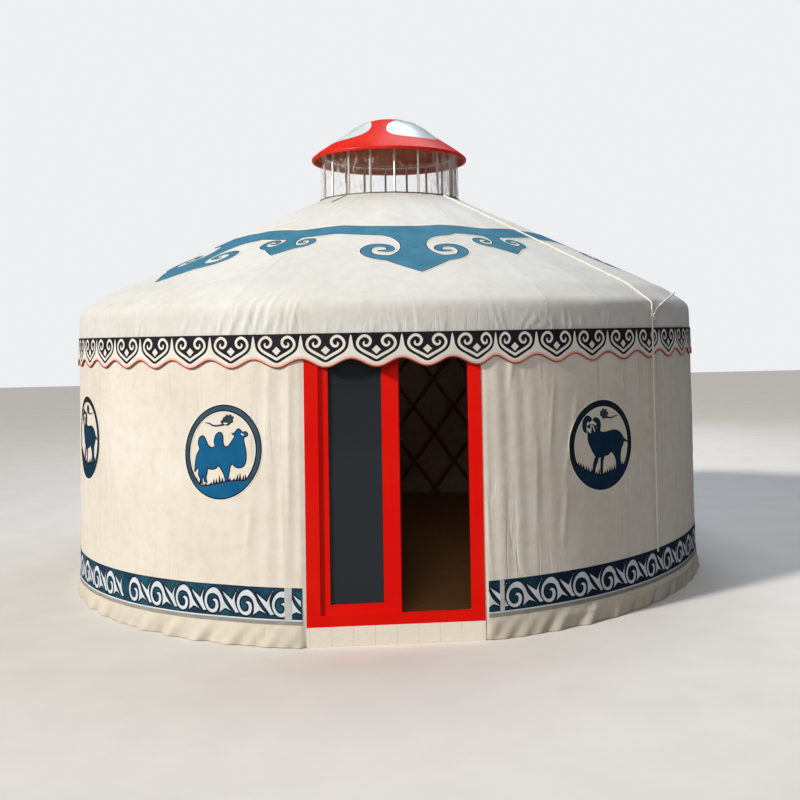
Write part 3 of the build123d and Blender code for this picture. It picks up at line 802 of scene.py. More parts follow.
def bandScroll(start=-0.5, end=0.5, carried=True):
    # a running scroll in millimetres: a curled hook, a leaf with two tips and a forked stem
    # start and end are in pitches from the hook; carried adds what the last motif reaches into this one
    pitch, low, high = band["pitch"], band["low"], band["top"] - band["low"]

    def outline(*runs):
        return joinRuns(*[[(u * pitch, low + v * high) for u, v in run] for run in runs])

    # one outline: back up over the ring, round and into the curl, out again along the inside
    leaf = outline(
        [(.470, .285), (.380, .405), (.315, .525), (.272, .655), (.200, .785), (.110, .880), (.010, .905),
         (-.105, .860), (-.205, .745), (-.268, .590), (-.285, .430), (-.245, .260), (-.165, .135),
         (-.065, .080), (.025, .085), (.105, .140), (.158, .265), (.162, .400), (.126, .500), (.060, .545),
         (-.010, .520), (-.040, .475)],
        [(.010, .462), (.052, .415), (.060, .330), (.036, .245), (-.028, .200), (-.110, .225),
         (-.172, .320), (-.200, .445), (-.175, .595), (-.105, .680), (-.008, .705), (.090, .672),
         (.163, .590), (.203, .455), (.212, .335), (.203, .210), (.176, .082)],
        [(.268, .175), (.368, .255)], [(.465, .215), (.582, .155)])
    stem = outline(
        [(.378, .725), (.486, .635), (.580, .545)], [(.625, .665), (.684, .790), (.753, .915)],
        [(.712, .795), (.672, .680), (.660, .560), (.676, .415), (.726, .265), (.793, .155)], [(.676, .130)],
        [(.604, .250), (.522, .375), (.424, .530), (.342, .670), (.275, .820)])
    shapes = bandGround(start * pitch, end * pitch)
    for slot, grow in ((3, band["inkLine"]), (1, band["whiteGrow"])):
        for shift in ((0, -pitch) if carried else (0,)):
            shapes += [(slot, grownLoop(part, grow) + (shift, -2)) for part in (leaf, stem)]
    # clip to the tile and to the blue ground
    flat, faces, slots = cutPrint(shapes, 24)
    along, up = flat[faces].mean(1).T
    keep = (along > start * pitch) & (along < end * pitch) & (up < band["top"]) & (up > band["stripeLow"])
    return keptFaces(flat, faces, slots, keep)


def wallCut(tile, azimuth, stretch=1.0, height=0.0, lift=band["lift"], sag=False):
    flat, faces, slots = tile
    around = (azimuth + np.degrees(flat[:, 0] * stretch / 1000 / wall["radius"])) % 360
    if sag:  # the band hangs a little lower along the left side
        first, last = band["sagSides"]
        ease = np.clip((last - around) / 48, 0, 1) * np.clip((around - first) / 30, 0, 1)
        height = height - band["sag"] * ease
    return wallPoint(around, height + flat[:, 1] / 1000, lift), faces, slots


def wallWidth(start, end):
    return radians(end - start) * wall["radius"] * 1000


def makeBand():
    scroll, step = bandScroll(), np.degrees(band["pitch"] / 1000 / wall["radius"])
    # past the join on the left the step is a shade longer, so that both runs meet at the back
    seamEdge = band["leftFirst"] - (band["seamAfter"] - 0.5) * band["leftStep"] - band["seamExtra"]
    rightEdge = band["rightFirst"] + (band["rightCount"] - 0.5) * band["rightStep"]
    late = (seamEdge - rightEdge) / (band["leftCount"] - band["seamAfter"])
    # the strip is joined once on the left: a clean start after a motif shown whole
    special = {-1: bandScroll(carried=False), 0: bandScroll(end=0.5 + band["seamExtra"] / late)}
    cuts = []
    for k in range(band["leftCount"]):
        past = k - band["seamAfter"]
        middle, turn = band["leftFirst"] - k * band["leftStep"], band["leftStep"]
        if past >= 0:
            middle, turn = seamEdge - (past + 0.5) * late, late
        cuts.append(wallCut(special.get(past, scroll), middle, turn / step, sag=True))
    turn = band["rightStep"]
    first = band["rightFirst"] - turn
    cuts.append(wallCut(bandScroll(start=(band["rightEnd"] - first) / turn), first, turn / step))
    for k in range(band["rightCount"]):
        cuts.append(wallCut(scroll, band["rightFirst"] + k * turn, turn / step, sag=True))
    start, end = band["leftFirst"] + band["leftStep"] / 2, band["leftEnd"]
    half = wallWidth(start, end) / 2
    cuts.append(wallCut(cutPrint(bandGround(-half, half), 24), (start + end) / 2, sag=True))
    return layPrint("FootBand", cuts, "canvas", [inks[key] for key in ("deep", "cool", "grey", "ink")])


def makeTapes():
    # pale tapes sewn over the band beside the door
    cuts = []
    for start, end in band["tapes"]:
        half = wallWidth(start, end) / 2
        strip = cutPrint([(0, box(-half, band["tapeLow"], half, band["tapeTop"]))], 10)
        cuts.append(wallCut(strip, (start + end) / 2, lift=band["tapeLift"]))
    return layPrint("BandTapes", cuts, "canvas", [inks["tape"]])


bandPiece = makeBand()
tapePiece = makeTapes()
report("foot band made")


# ---- Medallions

medallion = {"half": (253.0, 264.0), "ring": 38.0, "line": 7.5, "inkEdge": 6.0, "cloudEdge": 3.0, "margin": 5,
             "lean": {"camels": 0.085, "rams": 0.0}, "stretch": {"camels": 1.0, "rams": 1.03},
             "camels": ((334.8, 1.050), (254.4, 1.056), (165.6, 1.05), (76.8, 1.04)),
             "rams": ((33.05, 1.014), (121.2, 1.045), (210.0, 1.055), (298.8, 1.060))}


def ellipse(inset, turns=np.linspace(0, 2 * pi, 72, endpoint=False)):
    across, up = medallion["half"]
    return np.stack([(across - inset) * np.cos(turns), (up - inset) * np.sin(turns)], -1)


def groundLoops(tufts, floorLine):
    # a dark ground line with spiky tufts, and the blue below it; both are closed along the ring's outer line
    spikes = []
    for x, base, tip, lean in tufts:
        spikes += [(x + 8, base - 1), (x + lean, tip), (x - 8, base)]
    soilAndCreaseShade = [(x, base - 8) for x, base, *_ in tufts]
    rim = ellipse(5, np.linspace(radians(-152), radians(-28), 24))
    return tuple(np.vstack([edge, (floorLine, edge[-1][1]), rim]) for edge in (spikes, soilAndCreaseShade))


def camelShapes():
    body = joinRuns(
        [(68, 96), (56, 108)],
        [(72, 108), (84, 122), (98, 134), (112, 128), (126, 116), (146, 118), (160, 108), (162, 96),
         (152, 86), (140, 82), (141, 62), (152, 30), (161, -8), (162, -44), (152, -72), (130, -86),
         (106, -86), (88, -78), (74, -66)],
        [(66, -80), (60, -118), (56, -156)], [(44, -164), (34, -156)], [(24, -130), (8, -104), (-6, -88),
        (-16, -78)], [(-28, -92), (-50, -100), (-84, -98)], [(-86, -122), (-90, -146), (-80, -176)],
        [(-106, -170)], [(-116, -140), (-142, -126), (-146, -104)], [(-156, -98), (-170, -114),
        (-178, -118)],
        [(-178, -72), (-172, -24), (-154, 12), (-160, 30), (-165, 52), (-158, 78), (-138, 90), (-118, 82),
         (-103, 58), (-88, 36), (-64, 26), (-48, 34)],
        [(-56, 56), (-50, 90), (-30, 110), (-10, 110), (4, 92), (8, 60), (16, 38), (34, 34), (52, 52),
         (77, 90)])
    hindLeg = joinRuns([(-150, -130), (-136, -156), (-128, -180)], [(-110, -186)],
                       [(-116, -160), (-112, -130), (-100, -100)], [(-150, -100)])
    cloud = joinRuns([(-18, 170), (-8, 178)], [(-2, 192), (8, 196)], [(18, 208), (30, 204)], [(44, 210),
                     (52, 200)], [(66, 196), (60, 182)], [(62, 168), (48, 160)], [(36, 150), (18, 148),
                     (-12, 158)])
    tail = [(-122, 160, 3), (-96, 158, 7), (-66, 146, 9), (-34, 146, 9), (0, 152, 10), (24, 158, 8)]
    grass = groundLoops([
        (186, -150, -142, 2), (166, -148, -116, -4), (148, -150, -122, 3), (130, -150, -112, -3),
        (112, -150, -120, 2), (92, -152, -140, 2), (64, -154, -140, 3), (40, -158, -146, 0),
        (18, -164, -140, -3), (0, -168, -128, -5), (-20, -172, -146, -3), (-38, -176, -150, -2),
        (-58, -180, -168, 3), (-92, -184, -174, 0), (-130, -186, -160, -6), (-152, -176, -146, -4)], -172)
    ear = [(74, 98, 12), (66, 101, 8), (60, 104, 4)]
    eye = [(122, 102, 9), (130, 99, 6), (133, 94, 4)]
    curl = [(4, 160, 6), (14, 158, 9), (24, 161, 6)]
    return ([grass] + inked([body, hindLeg]) + [(strokeLoop(ear), None)], [cloud, strokeLoop(tail)],
            [strokeLoop(eye), strokeLoop(curl)])


def ramShapes():
    body = joinRuns(
        [(-102, 62), (-98, 28), (-84, -4), (-66, -36), (-46, -64)], [(-62, -100), (-68, -132), (-72, -164)],
        [(-50, -164)], [(-46, -132), (-30, -100), (-16, -72)], [(-4, -72)], [(-6, -110), (-10, -150),
        (-8, -164)], [(12, -164)], [(14, -120), (20, -88), (30, -66)], [(52, -66), (74, -54), (88, -48)],
        [(104, -70), (116, -98), (118, -130), (116, -160)], [(170, -150)], [(158, -118), (156, -74),
        (162, -42), (178, -12), (186, 6)], [(204, 0), (222, -6)],
        [(206, 12), (186, 24), (166, 54), (140, 74), (112, 82), (80, 80), (48, 76), (14, 76), (-14, 92)],
        [(-56, 104), (-98, 92)])
    head = joinRuns([(-86, 132), (-64, 138), (-40, 124), (-34, 104), (-46, 88), (-66, 78), (-88, 84),
                     (-98, 118)])
    cloud = joinRuns([(2, 198), (14, 200)], [(22, 214), (34, 206)], [(50, 208), (54, 194)], [(66, 184),
                     (58, 170)], [(50, 156), (34, 158)], [(18, 152), (12, 168)], [(0, 172), (0, 184)])
    leftHorn = [(-112, 84, 14), (-122, 104, 28), (-120, 140, 34), (-104, 162, 34), (-84, 156, 30),
                (-74, 136, 24), (-84, 120, 20), (-96, 116, 14)]
    rightHorn = [(-18, 88, 26), (-12, 112, 30), (-18, 138, 34), (-38, 150, 30), (-54, 140, 24),
                 (-52, 120, 18), (-40, 112, 14), (-30, 116, 9)]
    tail = [(30, 160, 12), (62, 158, 10), (92, 154, 8), (118, 162, 6), (144, 166, 3)]
    grass = groundLoops([
        (200, -112, -104, 0), (186, -122, -108, 2), (166, -134, -110, -3), (140, -146, -124, 0),
        (112, -152, -134, 2), (92, -154, -122, 3), (74, -158, -134, -2), (54, -160, -128, 3),
        (34, -164, -142, 0), (14, -168, -152, 2), (-10, -168, -138, -2), (-34, -168, -138, 2),
        (-52, -166, -150, -3), (-72, -160, -146, 0), (-92, -152, -128, 3), (-112, -144, -118, -2),
        (-132, -134, -110, 2), (-152, -122, -96, -3), (-172, -110, -88, 3), (-190, -98, -82, 0)], -204)
    marks = [[(-84, 132, 8), (-66, 138, 20), (-48, 130, 14), (-42, 120, 6)],
             [(-90, 100, 10), (-86, 90, 18), (-80, 80, 10)], [(-74, 122, 8), (-76, 104, 8), (-74, 92, 5)],
             [(-62, 118, 8), (-54, 102, 8), (-46, 84, 6)], [(-94, 132, 8), (-92, 124, 5)]]
    horns = [strokeLoop(horn) for horn in (leftHorn, rightHorn)]
    parts = [body, *horns, head, cloud, strokeLoop(tail)] + [strokeLoop(mark) for mark in marks]
    # the forequarters stand a little further forward
    parts = [loop - np.clip((190 - loop[:, :1]) / 100, 0, 1) * (15, 0) for loop in parts]
    return [grass] + inked(parts[:4]), parts[4:6], parts[6:]


def inked(loops):
    # each outline with the blue inside it
    return [(loop, grownLoop(loop, -medallion["inkEdge"])) for loop in loops]


def medallionTile(blue, cloud, marks):
    line, ring, margin = (medallion[key] for key in ("line", "ring", "margin"))
    shapes = [(slot, ellipse(inset)) for slot, inset in (
        (4, -margin), (2, 0), (1, line), (2, ring - line), (4, ring), (-1, ring + margin))]
    shapes += [(2, loop) for loop, fill in blue] + [(2, loop) for loop in cloud]
    shapes += [(0, fill) for loop, fill in blue if fill is not None]
    shapes += [(5, grownLoop(loop, -medallion["cloudEdge"])) for loop in cloud]
    shapes += [(3, loop) for loop in marks]
    flat, faces, slots = cutPrint(shapes, 26)
    # the ring lies over whatever reaches it, and the ground runs on into it
    middle = flat[faces].mean(1)
    reach = [insideLoop(middle, ellipse(inset)) for inset in (0, line, ring - line, ring)]
    bare = ~insideLoop(middle, blue[0][1])
    slots[reach[0] & ~reach[1]] = 2
    slots[reach[1] & ~reach[2] & bare] = 1
    slots[reach[2] & ~reach[3] & bare] = 2
    return flat, faces, slots


def makeMedallions():
    pieces = []
    # the rams take the darker copies of the blue and slate prints: painted shade
    for kind, shapes, blue, ring in (("camels", camelShapes(), "blue", "slate"),
                                     ("rams", ramShapes(), "ramShadedBlue", "ramShadedSlate")):
        flat, faces, slots = medallionTile(*shapes)
        flat = flat + medallion["lean"][kind] * flat[:, 1:] * (1, 0)
        finishes = [inks[key] for key in (blue, ring, "ink", "white", "pale", "cloud")]
        for n, (azimuth, height) in enumerate(medallion[kind]):
            cut = wallCut((flat, faces, slots), azimuth, medallion["stretch"][kind], height)
            pieces.append(layPrint(f"Medallion_{kind}_{n + 1}", [cut], "canvas", finishes))
    return pieces


medallionPieces = makeMedallions()
report("medallions made")


# ---- Band round the roof

crest = {"top": 1.232, "low": 1.386, "kinkRise": 0.036, "lowRise": 0.052, "panelTurn": 0.35, "line": 6.5,
         "halo": 20.0, "lift": 0.0020, "start": 1.22, "overKink": 1.99,
         "large": ((5.2, 0), (70.0, 0), (126.0, 0), (185.5, 0), (245.5, 0), (310.0, 0)),
         "small": ((28.5, 26), (98.0, 0), (155.5, 0), (215.5, 0), (278.0, 0), (333.2, 0)), "smallScale": 0.58}


def crestEdge(radius, rise, grow):
    azimuth = np.arange(0, 360, 1.0)
    panel = np.abs((azimuth - crest["panelTurn"] + 15) % 30 - 15) / 15
    at = radius - rise * panel ** 1.3 + grow / 1000
    return atAzimuth(azimuth, at, 0.0)[:, :2]


def crestMotif(scale):
    # half in millimetres, x from the middle and y down the slope; a halo, a line and a fill
    neck = [(330, 120), (256, 168), (181, 184), (128, 220), (94, 280), (78, 350), (88, 440), (128, 515),
            (180, 556)]
    foot = [(180, 556), (196, 600), (184, 630), (150, 668), (100, 718), (48, 770), (0, 814)]
    half = np.vstack([smoothRun(neck, 4)[:-1], smoothRun(foot, 3)])
    body = np.vstack([half, (half * (-1, 1))[::-1][1:]])
    arm = np.array([(150, 590, 92), (215, 578, 74), (272, 546, 62), (301, 490, 62), (296, 430, 58),
                    (262, 380, 50), (210, 366, 46), (164, 384, 44), (147, 424, 42), (160, 456, 36),
                    (192, 464, 24), (222, 460, 10)])
    arms = [arm * (side, 1, 1) * scale for side in (1, -1)]
    return [[grownLoop(body * scale, grow)] + [strokeLoop(arm, grow, 4) for arm in arms]
            for grow in (crest["halo"] - 6, crest["line"], 0.0)]


def makeCrest():
    layers, fall = [[], [], []], cos(radians(roof["slope"]))
    for kind, scale in (("large", 1.0), ("small", crest["smallScale"])):
        parts = crestMotif(scale)
        for azimuth, drop in crest[kind]:
            for layer, loops in zip(layers, parts):
                for loop in loops:
                    radius = crest["start"] + (loop[:, 1] + drop) / 1000 * fall
                    turn = azimuth + np.degrees(loop[:, 0] / 1000 / radius)
                    layer.append(atAzimuth(turn, radius, 0.0)[:, :2])
    line, halo, shapes = crest["line"], crest["halo"], []
    for slot, grow, loops in zip((2, 1, 0), (halo, line, 0), layers):
        shapes += [(slot, crestEdge(crest["low"], crest["lowRise"], grow))] + [(slot, loop) for loop in loops]
    shapes += [(slot, crestEdge(crest["top"], crest["kinkRise"], grow))
               for slot, grow in ((1, 0), (2, -line), (-1, -halo - 4))]
    flat, faces, slots = cutPrint(shapes, 0.030)
    azimuth = np.degrees(np.arctan2(flat[:, 0], -flat[:, 1]))
    slope = slice(np.argmax(lineAt[:, 1] > crest["overKink"]), None)
    along = np.interp(-np.hypot(*flat.T), -lineAt[slope, 0], lineAlong[slope])
    return layPrint("RoofCrest", [(roofPoint(azimuth, along, crest["lift"]), faces, slots)], "canvas",
                    [inks[key] for key in ("sky", "outline", "pale")], smoothTo=50)


crestPiece = makeCrest()
report("roof crest made")


# ---- Tie ropes

# a spare end's points are (azimuth past the knot, distance up the roof, lift)
ropes = {"radius": 0.0062, "strandRadius": 0.0034, "strandTurn": 0.0031, "pitch": 0.046,
         "azimuths": (45.9, 225.9), "step": 0.0075, "spareStep": 0.005, "off": 0.0016, "top": 0.553,
         "wallRadius": 2.2668, "low": 0.308, "knotHeight": 1.772, "knotSize": 0.0115,
         "spare": ((1.5, 0.120, 0.011), (3.2, 0.148, 0.011), (5.0, 0.170, 0.012), (6.8, 0.187, 0.018),
                   (8.6, 0.200, 0.034), (10.2, 0.212, 0.056))}


def ropeRoute(azimuth):
    # (radius, height) points from the lantern hoop over the roof, round the eave and down the wall
    share = float(flatShare(np.array([azimuth]))[0])
    slope, steep, mean = (radians(turn) for turn in (roof["slope"], roof["shoulderSlope"], 30))
    lift, out, top = ropes["radius"] + ropes["off"], ropes["wallRadius"], ropes["top"]
    kink = (roof["kink"][0] * share + lift * sin(mean), roof["kink"][1] + lift * cos(mean))
    start = (top, kink[1] + (kink[0] - top) * tan(slope))
    eave = kink[1] - (out - kink[0]) * tan(steep)
    points = [start, ((start[0] + kink[0]) / 2, (start[1] + kink[1]) / 2),
              (kink[0] - 0.06 * cos(slope), kink[1] + 0.06 * sin(slope)), kink,
              (kink[0] + 0.06 * cos(steep), kink[1] - 0.06 * sin(steep)),
              (out - 0.036 * cos(steep), eave + 0.036 * sin(steep))]
    points += [(out, height) for height in (eave, eave - 0.036, eave - 0.16, 1.0, ropes["low"])]
    return [tuple(atAzimuth(np.array(azimuth), radius, height)) for radius, height in points]


def lengthAlong(line):
    return np.concatenate([[0], np.cumsum(np.linalg.norm(np.diff(line, axis=0), axis=1))])


def splineLine(points, step):
    # points along the NURBS through a route, evenly spaced
    data = bpy.data.curves.new("Route", "CURVE")
    data.dimensions, data.resolution_u = "3D", 24
    spline = data.splines.new("NURBS")
    spline.points.add(len(points) - 1)
    for point, place in zip(spline.points, points):
        point.co = (*place, 1)
    spline.order_u, spline.use_endpoint_u = 3, True
    holder = bpy.data.objects.new("Route", data)
    scene.collection.objects.link(holder)
    mesh = bpy.data.meshes.new_from_object(holder)
    line = np.array([v.co for v in mesh.vertices])
    bpy.data.objects.remove(holder)
    bpy.data.meshes.remove(mesh)
    along = lengthAlong(line)
    even = np.linspace(0, along[-1], int(along[-1] / step) + 2)
    return np.stack([np.interp(even, along, line[:, k]) for k in range(3)], -1)


def carriedFrames(line):
    # two directions across the line, carried from point to point
    along = np.gradient(line, axis=0)
    along /= np.linalg.norm(along, axis=1)[:, None]
    side = np.cross(along[0], (0.31, 0.52, 0.79))
    frames = []
    for direction in along:
        side = side - direction * np.dot(side, direction)
        side = side / np.linalg.norm(side)
        frames.append((side, np.cross(direction, side)))
    return np.array(frames).transpose(1, 0, 2)


def makeRope(name, line, finish):
    # three closed strands laid round the line
    sides, count = 6, len(line)
    across, up = carriedFrames(line)
    base, here = np.arange(count - 1)[:, None] * sides, np.arange(sides)
    following = (here + 1) % sides
    tube = np.stack([base + here, base + following, base + sides + following, base + sides + here], -1)
    tube = tube.reshape(-1, 4).tolist() + [here[::-1].tolist(), (here + (count - 1) * sides).tolist()]
    points, faces = [], []
    for strand in range(3):
        turn = (lengthAlong(line) / ropes["pitch"] + strand / 3)[:, None] * 2 * pi
        centre = line + ropes["strandTurn"] * (np.cos(turn) * across + np.sin(turn) * up)
        points.append(tubeRings(centre, *carriedFrames(centre), ropes["strandRadius"], sides).reshape(-1, 3))
        faces += [[k + strand * count * sides for k in face] for face in tube]
    mesh = bpy.data.meshes.new(name)
    mesh.from_pydata(np.vstack(points).tolist(), [], faces)
    piece = bpy.data.objects.new(name, mesh)
    scene.collection.objects.link(piece)
    editAll(piece, bpy.ops.mesh.normals_make_consistent, inside=False)
    return finishPiece(piece, "yurt", "rope", [finish], 60)


def knotLine(centre, size, azimuth):
    # one loose overhand turn, as a trefoil
    t = np.linspace(0, 2 * pi, 90)
    across = size * (np.sin(t) + 2 * np.sin(2 * t)) / 1.6
    up = size * (np.cos(t) - 2 * np.cos(2 * t)) / 1.6
    out = size * 0.8 * -np.sin(3 * t)
    turn = radians(azimuth)
    side, away = np.array((cos(turn), sin(turn), 0)), np.array((sin(turn), -cos(turn), 0))
    return np.array(centre) + across[:, None] * side + up[:, None] * np.array((0, 0, 1)) + out[:, None] * away


def makeRopes():
    # Cotton rope, three strands laid: matt and hairy, greyed by handling.
    cotton = grainFinish("Cotton rope, three strand laid", (160.0, 4.0), (0.35, "#E6E0D2", 0.65, "#FBF8F0"),
                         (0.5, 0.001), {"Roughness": 0.9, "Sheen Weight": 0.2})
    for name, azimuth in zip(("Front", "Back"), ropes["azimuths"]):
        piece = makeRope("TieRope" + name, splineLine(ropeRoute(azimuth), ropes["step"]), cotton)
        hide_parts("tie_rope_" + name.lower())
        centre = atAzimuth(np.array(azimuth), ropes["wallRadius"] + 0.003, ropes["knotHeight"])
        makeRope("TieKnot" + name, knotLine(centre, ropes["knotSize"], azimuth), cotton)
        # the spare end lies up over the shoulder
        start = atAzimuth(np.array(azimuth + 0.45), ropes["wallRadius"] + 0.004, ropes["knotHeight"] + 0.006)
        rest = [tuple(roofPoint(azimuth + turn, along, lift)) for turn, along, lift in ropes["spare"]]
        end = splineLine([tuple(start)] + rest, ropes["spareStep"])
        spare = makeRope("SpareEnd" + name, end, cotton)


makeRopes()
report("ropes made")


# ---- Seams

seams = {"roofAzimuths": (-23.2, 23.2, 75.5, 127.7, 180.0, 232.3, 284.5),
         "wallAzimuths": (54.57, 96.38, 138.19, 180.0, 221.81, 263.62, 305.43),
         "width": 14.0, "lift": 0.0005, "thickness": 0.0006, "tabAzimuth": -38.0, "tabTurn": 2.6,
         "tabRadius": 0.65, "tabWidth": 9.0, "tabLength": 0.135, "tabLift": 0.0035, "tabThickness": 0.0015}


def seamStrip(lengths, width, place):
    # place turns (metres across, metres along) into points on the cloth
    across = np.linspace(-width / 2, width / 2, 5) / 1000
    faces = gridFaces(len(lengths), len(across))
    return place(*np.meshgrid(across, lengths)).reshape(-1, 3), faces, np.zeros(len(faces), int)


def onRoof(azimuth, across, along):
    radius = np.interp(along, lineAlong, lineAt[:, 0])
    return roofPoint(azimuth + np.degrees(across / radius), along, seams["lift"])


def onWall(azimuth, across, height):
    return wallPoint(azimuth + np.degrees(across / wall["radius"]), height, seams["lift"])


def makeSeams():
    # roof seams run from the lantern to the shoulder, wall seams from the hem to the skirt
    stitched = canvasFinish("Lap seam, doubled canvas", "#E2E4E1", "#DADBD6", "#C3B59B", 0.002)
    pieces = []
    for name, azimuths, place, lengths in (
            ("RoofSeams", seams["roofAzimuths"], onRoof, np.linspace(0.10, lineAlong[-1] - 0.01, 70)),
            ("WallSeams", seams["wallAzimuths"], onWall, np.linspace(0.33, wall["top"] - 0.01, 50))):
        cuts = [seamStrip(lengths, seams["width"], partial(place, azimuth)) for azimuth in azimuths]
        pieces.append(layPrint(name, cuts, "canvas", [stitched], seams["thickness"]))
    return pieces


def onTab(across, share):
    azimuth = seams["tabAzimuth"] + seams["tabTurn"] * share + np.degrees(across / seams["tabRadius"])
    return roofPoint(azimuth, lineAlong[-1] - 0.018 - seams["tabLength"] * (1 - share), seams["tabLift"])


def makeLanternTab():
    # a dark webbing tab sewn to the roof under the lantern's left side
    webbing = printFinish("Webbing tab, woven polyester", "#33363A", "#55585B", 0.8)
    strip = seamStrip(np.linspace(0, 1, 14), seams["tabWidth"], onTab)
    return layPrint("LanternTab", [strip], "canvas", [webbing], seams["tabThickness"])


roofSeams, wallSeams = makeSeams()
tabPiece = makeLanternTab()
report("seams made")


# ---- Lantern film

film = {"crinkle": 0.0025, "columns": 288, "rows": 22, "thickness": 0.0012, "inset": 0.003, "hold": 0.05}
filmLow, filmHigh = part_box("lantern_film")
filmWaves = slackWaves(14, (8, 70), 34)


def filmFinish():
    # Clear PVC film, calendered: thin and glossy, crinkled where it is tied, milky along its creases.
    finish, tree = newFinish("Clear film, calendered PVC")
    pulled = addNode(tree, "Mapping", {"Scale": (1.0, 1.0, 0.35), "Vector": objectPlace(tree)})
    crease = noise(tree, 26.0, 5.0, 0.65, 0.9, pulled)
    across = objectPlace(tree, 0)
    ends = combine(tree, "ADD", remap(tree, across, 0.20, 0.45, 0.0, 0.24),
                   remap(tree, across, -0.05, -0.35, 0.0, 0.11))
    milky = remap(tree, combine(tree, "ADD", crease, ends), 0.58, 0.84, 0.02, 0.28)
    return surfaced(finish, tree, {"Base Color": "#FBF8F6", "Roughness": 0.16, "IOR": 1.53, "Alpha": milky,
                                   "Normal": bump(tree, crease, 0.5, 0.005)})


def makeFilm():
    radius, low, high = filmHigh[0] - film["inset"], filmLow[2] + 0.001, filmHigh[2] - 0.002

    def place(azimuth, height):
        hold = np.clip(np.minimum(height - low, high - height) / film["hold"], 0.2, 1)
        crinkle = film["crinkle"] * hold * addWaves(filmWaves, azimuth, height)
        return atAzimuth(azimuth, radius + crinkle, height)

    turn = np.linspace(-180, 180, film["columns"] + 1)
    piece = clothSheet("LanternFilm", turn, np.linspace(low, high, film["rows"]), place, radius)
    finishRing(piece, "clear_film", filmFinish(), film["thickness"], 60)
    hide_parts("lantern_film")


makeFilm()
report("lantern film made")


# ---- Cap

capLow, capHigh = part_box("cap_shell")
cap = {"radius": 0.5965, "lip": 0.022, "wallThickness": 0.006, "sides": 96,
       "line": ((1.0, 0.0), (0.93, 0.115), (0.82, 0.265), (0.72, 0.395), (0.60, 0.555), (0.48, 0.745),
                (0.36, 0.885), (0.25, 0.955), (0.15, 0.985), (0.07, 0.997)),
       "rimRoll": 0.0115, "rimInset": 0.008, "rimDraw": 0.985, "bareTo": 0.022, "bareFrom": 0.03,
       "paneAzimuth": 31.0, "paneRadius": 0.335, "paneSize": (0.212, 0.133), "paneGap": 0.001}


def spunCap(name, thickness):
    # a circle at the lip, extruded and drawn in ring by ring up to the crown
    base, rise = capLow[2] + cap["lip"], capHigh[2] - capLow[2] - cap["lip"]
    selectNone()
    bpy.ops.mesh.primitive_circle_add(vertices=cap["sides"], radius=cap["radius"], fill_type="NOTHING",
                                      location=(0, 0, capLow[2]))
    piece = bpy.context.object
    piece.name = name
    bpy.ops.object.transform_apply(location=True, rotation=False, scale=False)
    bpy.ops.object.mode_set(mode="EDIT")
    bpy.ops.mesh.select_all(action="SELECT")
    radius, height = cap["radius"], capLow[2]
    for share, up in cap["line"]:
        nextRadius, nextHeight = cap["radius"] * share, base + rise * up
        bpy.ops.mesh.extrude_edges_move(TRANSFORM_OT_translate={"value": (0, 0, nextHeight - height)})
        factor = nextRadius / radius
        bpy.ops.transform.resize(value=(factor, factor, 1), center_override=(0, 0, nextHeight))
        radius, height = nextRadius, nextHeight
    bpy.ops.mesh.extrude_edges_move(TRANSFORM_OT_translate={"value": (0, 0, capHigh[2] - height)})
    bpy.ops.mesh.merge(type="CENTER")
    bpy.ops.object.mode_set(mode="OBJECT")
    editAll(piece, bpy.ops.mesh.remove_doubles, threshold=0.0001)
    editAll(piece, bpy.ops.mesh.normals_make_consistent, inside=False)
    thicken(piece, thickness)
    return piece


def joined(pieces):
    selectNone()
    for piece in pieces:
        piece.select_set(True)
    bpy.context.view_layer.objects.active = pieces[0]
    bpy.ops.object.join()
    selectNone()
    return pieces[0]


def cutPanes(piece, operation, grow):
    cutters, (length, width) = [], cap["paneSize"]
    for n in range(4):
        turn = radians(cap["paneAzimuth"] + 90 * n)
        place = (cap["paneRadius"] * sin(turn), -cap["paneRadius"] * cos(turn), capHigh[2])
        selectNone()
        bpy.ops.mesh.primitive_cylinder_add(vertices=40, radius=1, depth=0.8, location=place,
                                            rotation=(0, 0, turn), scale=(length + grow, width + grow, 1))
        bpy.ops.object.transform_apply(location=True, rotation=True, scale=True)
        cutters.append(bpy.context.object)
    cutter = joined(cutters)
    applyModifier(piece, "BOOLEAN", operation=operation, solver="EXACT", object=cutter)
    bpy.data.objects.remove(cutter)


def rolledRim():
    # flattened a little where it turns in
    selectNone()
    bpy.ops.mesh.primitive_torus_add(major_segments=cap["sides"], minor_segments=14,
                                     major_radius=cap["radius"] - cap["rimInset"],
                                     minor_radius=cap["rimRoll"],
                                     location=(0, 0, capLow[2] + cap["rimRoll"] - 0.001))
    rim = bpy.context.object
    bpy.ops.object.transform_apply(location=True, rotation=False, scale=False)
    bpy.ops.object.mode_set(mode="EDIT")
    mesh = bmesh.from_edit_mesh(rim.data)
    for point in mesh.verts:
        point.select_set(point.co.z > capLow[2] + 1.5 * cap["rimRoll"])
    mesh.select_flush_mode()
    bmesh.update_edit_mesh(rim.data)
    bpy.ops.transform.resize(value=(cap["rimDraw"], cap["rimDraw"], 1), center_override=(0, 0, 0))
    bpy.ops.object.mode_set(mode="OBJECT")
    return rim


def bareInside(piece):
    # faces that look inward or down, away from the rim, take the second finish
    faces = piece.data.polygons
    middles, normals = np.zeros(3 * len(faces)), np.zeros(3 * len(faces))
    faces.foreach_get("center", middles)
    faces.foreach_get("normal", normals)
    middles, normals = middles.reshape(-1, 3), normals.reshape(-1, 3)
    away = np.hypot(middles[:, 0], middles[:, 1]) + 1e-9
    inward = (normals[:, :2] * middles[:, :2]).sum(1) / away
    under = (normals[:, 2] < -0.05) & (away < cap["radius"] - cap["bareTo"])
    rim = (inward < -0.3) & (away > cap["radius"] - cap["bareFrom"])
    faces.foreach_set("material_index", (under | rim).astype(int))


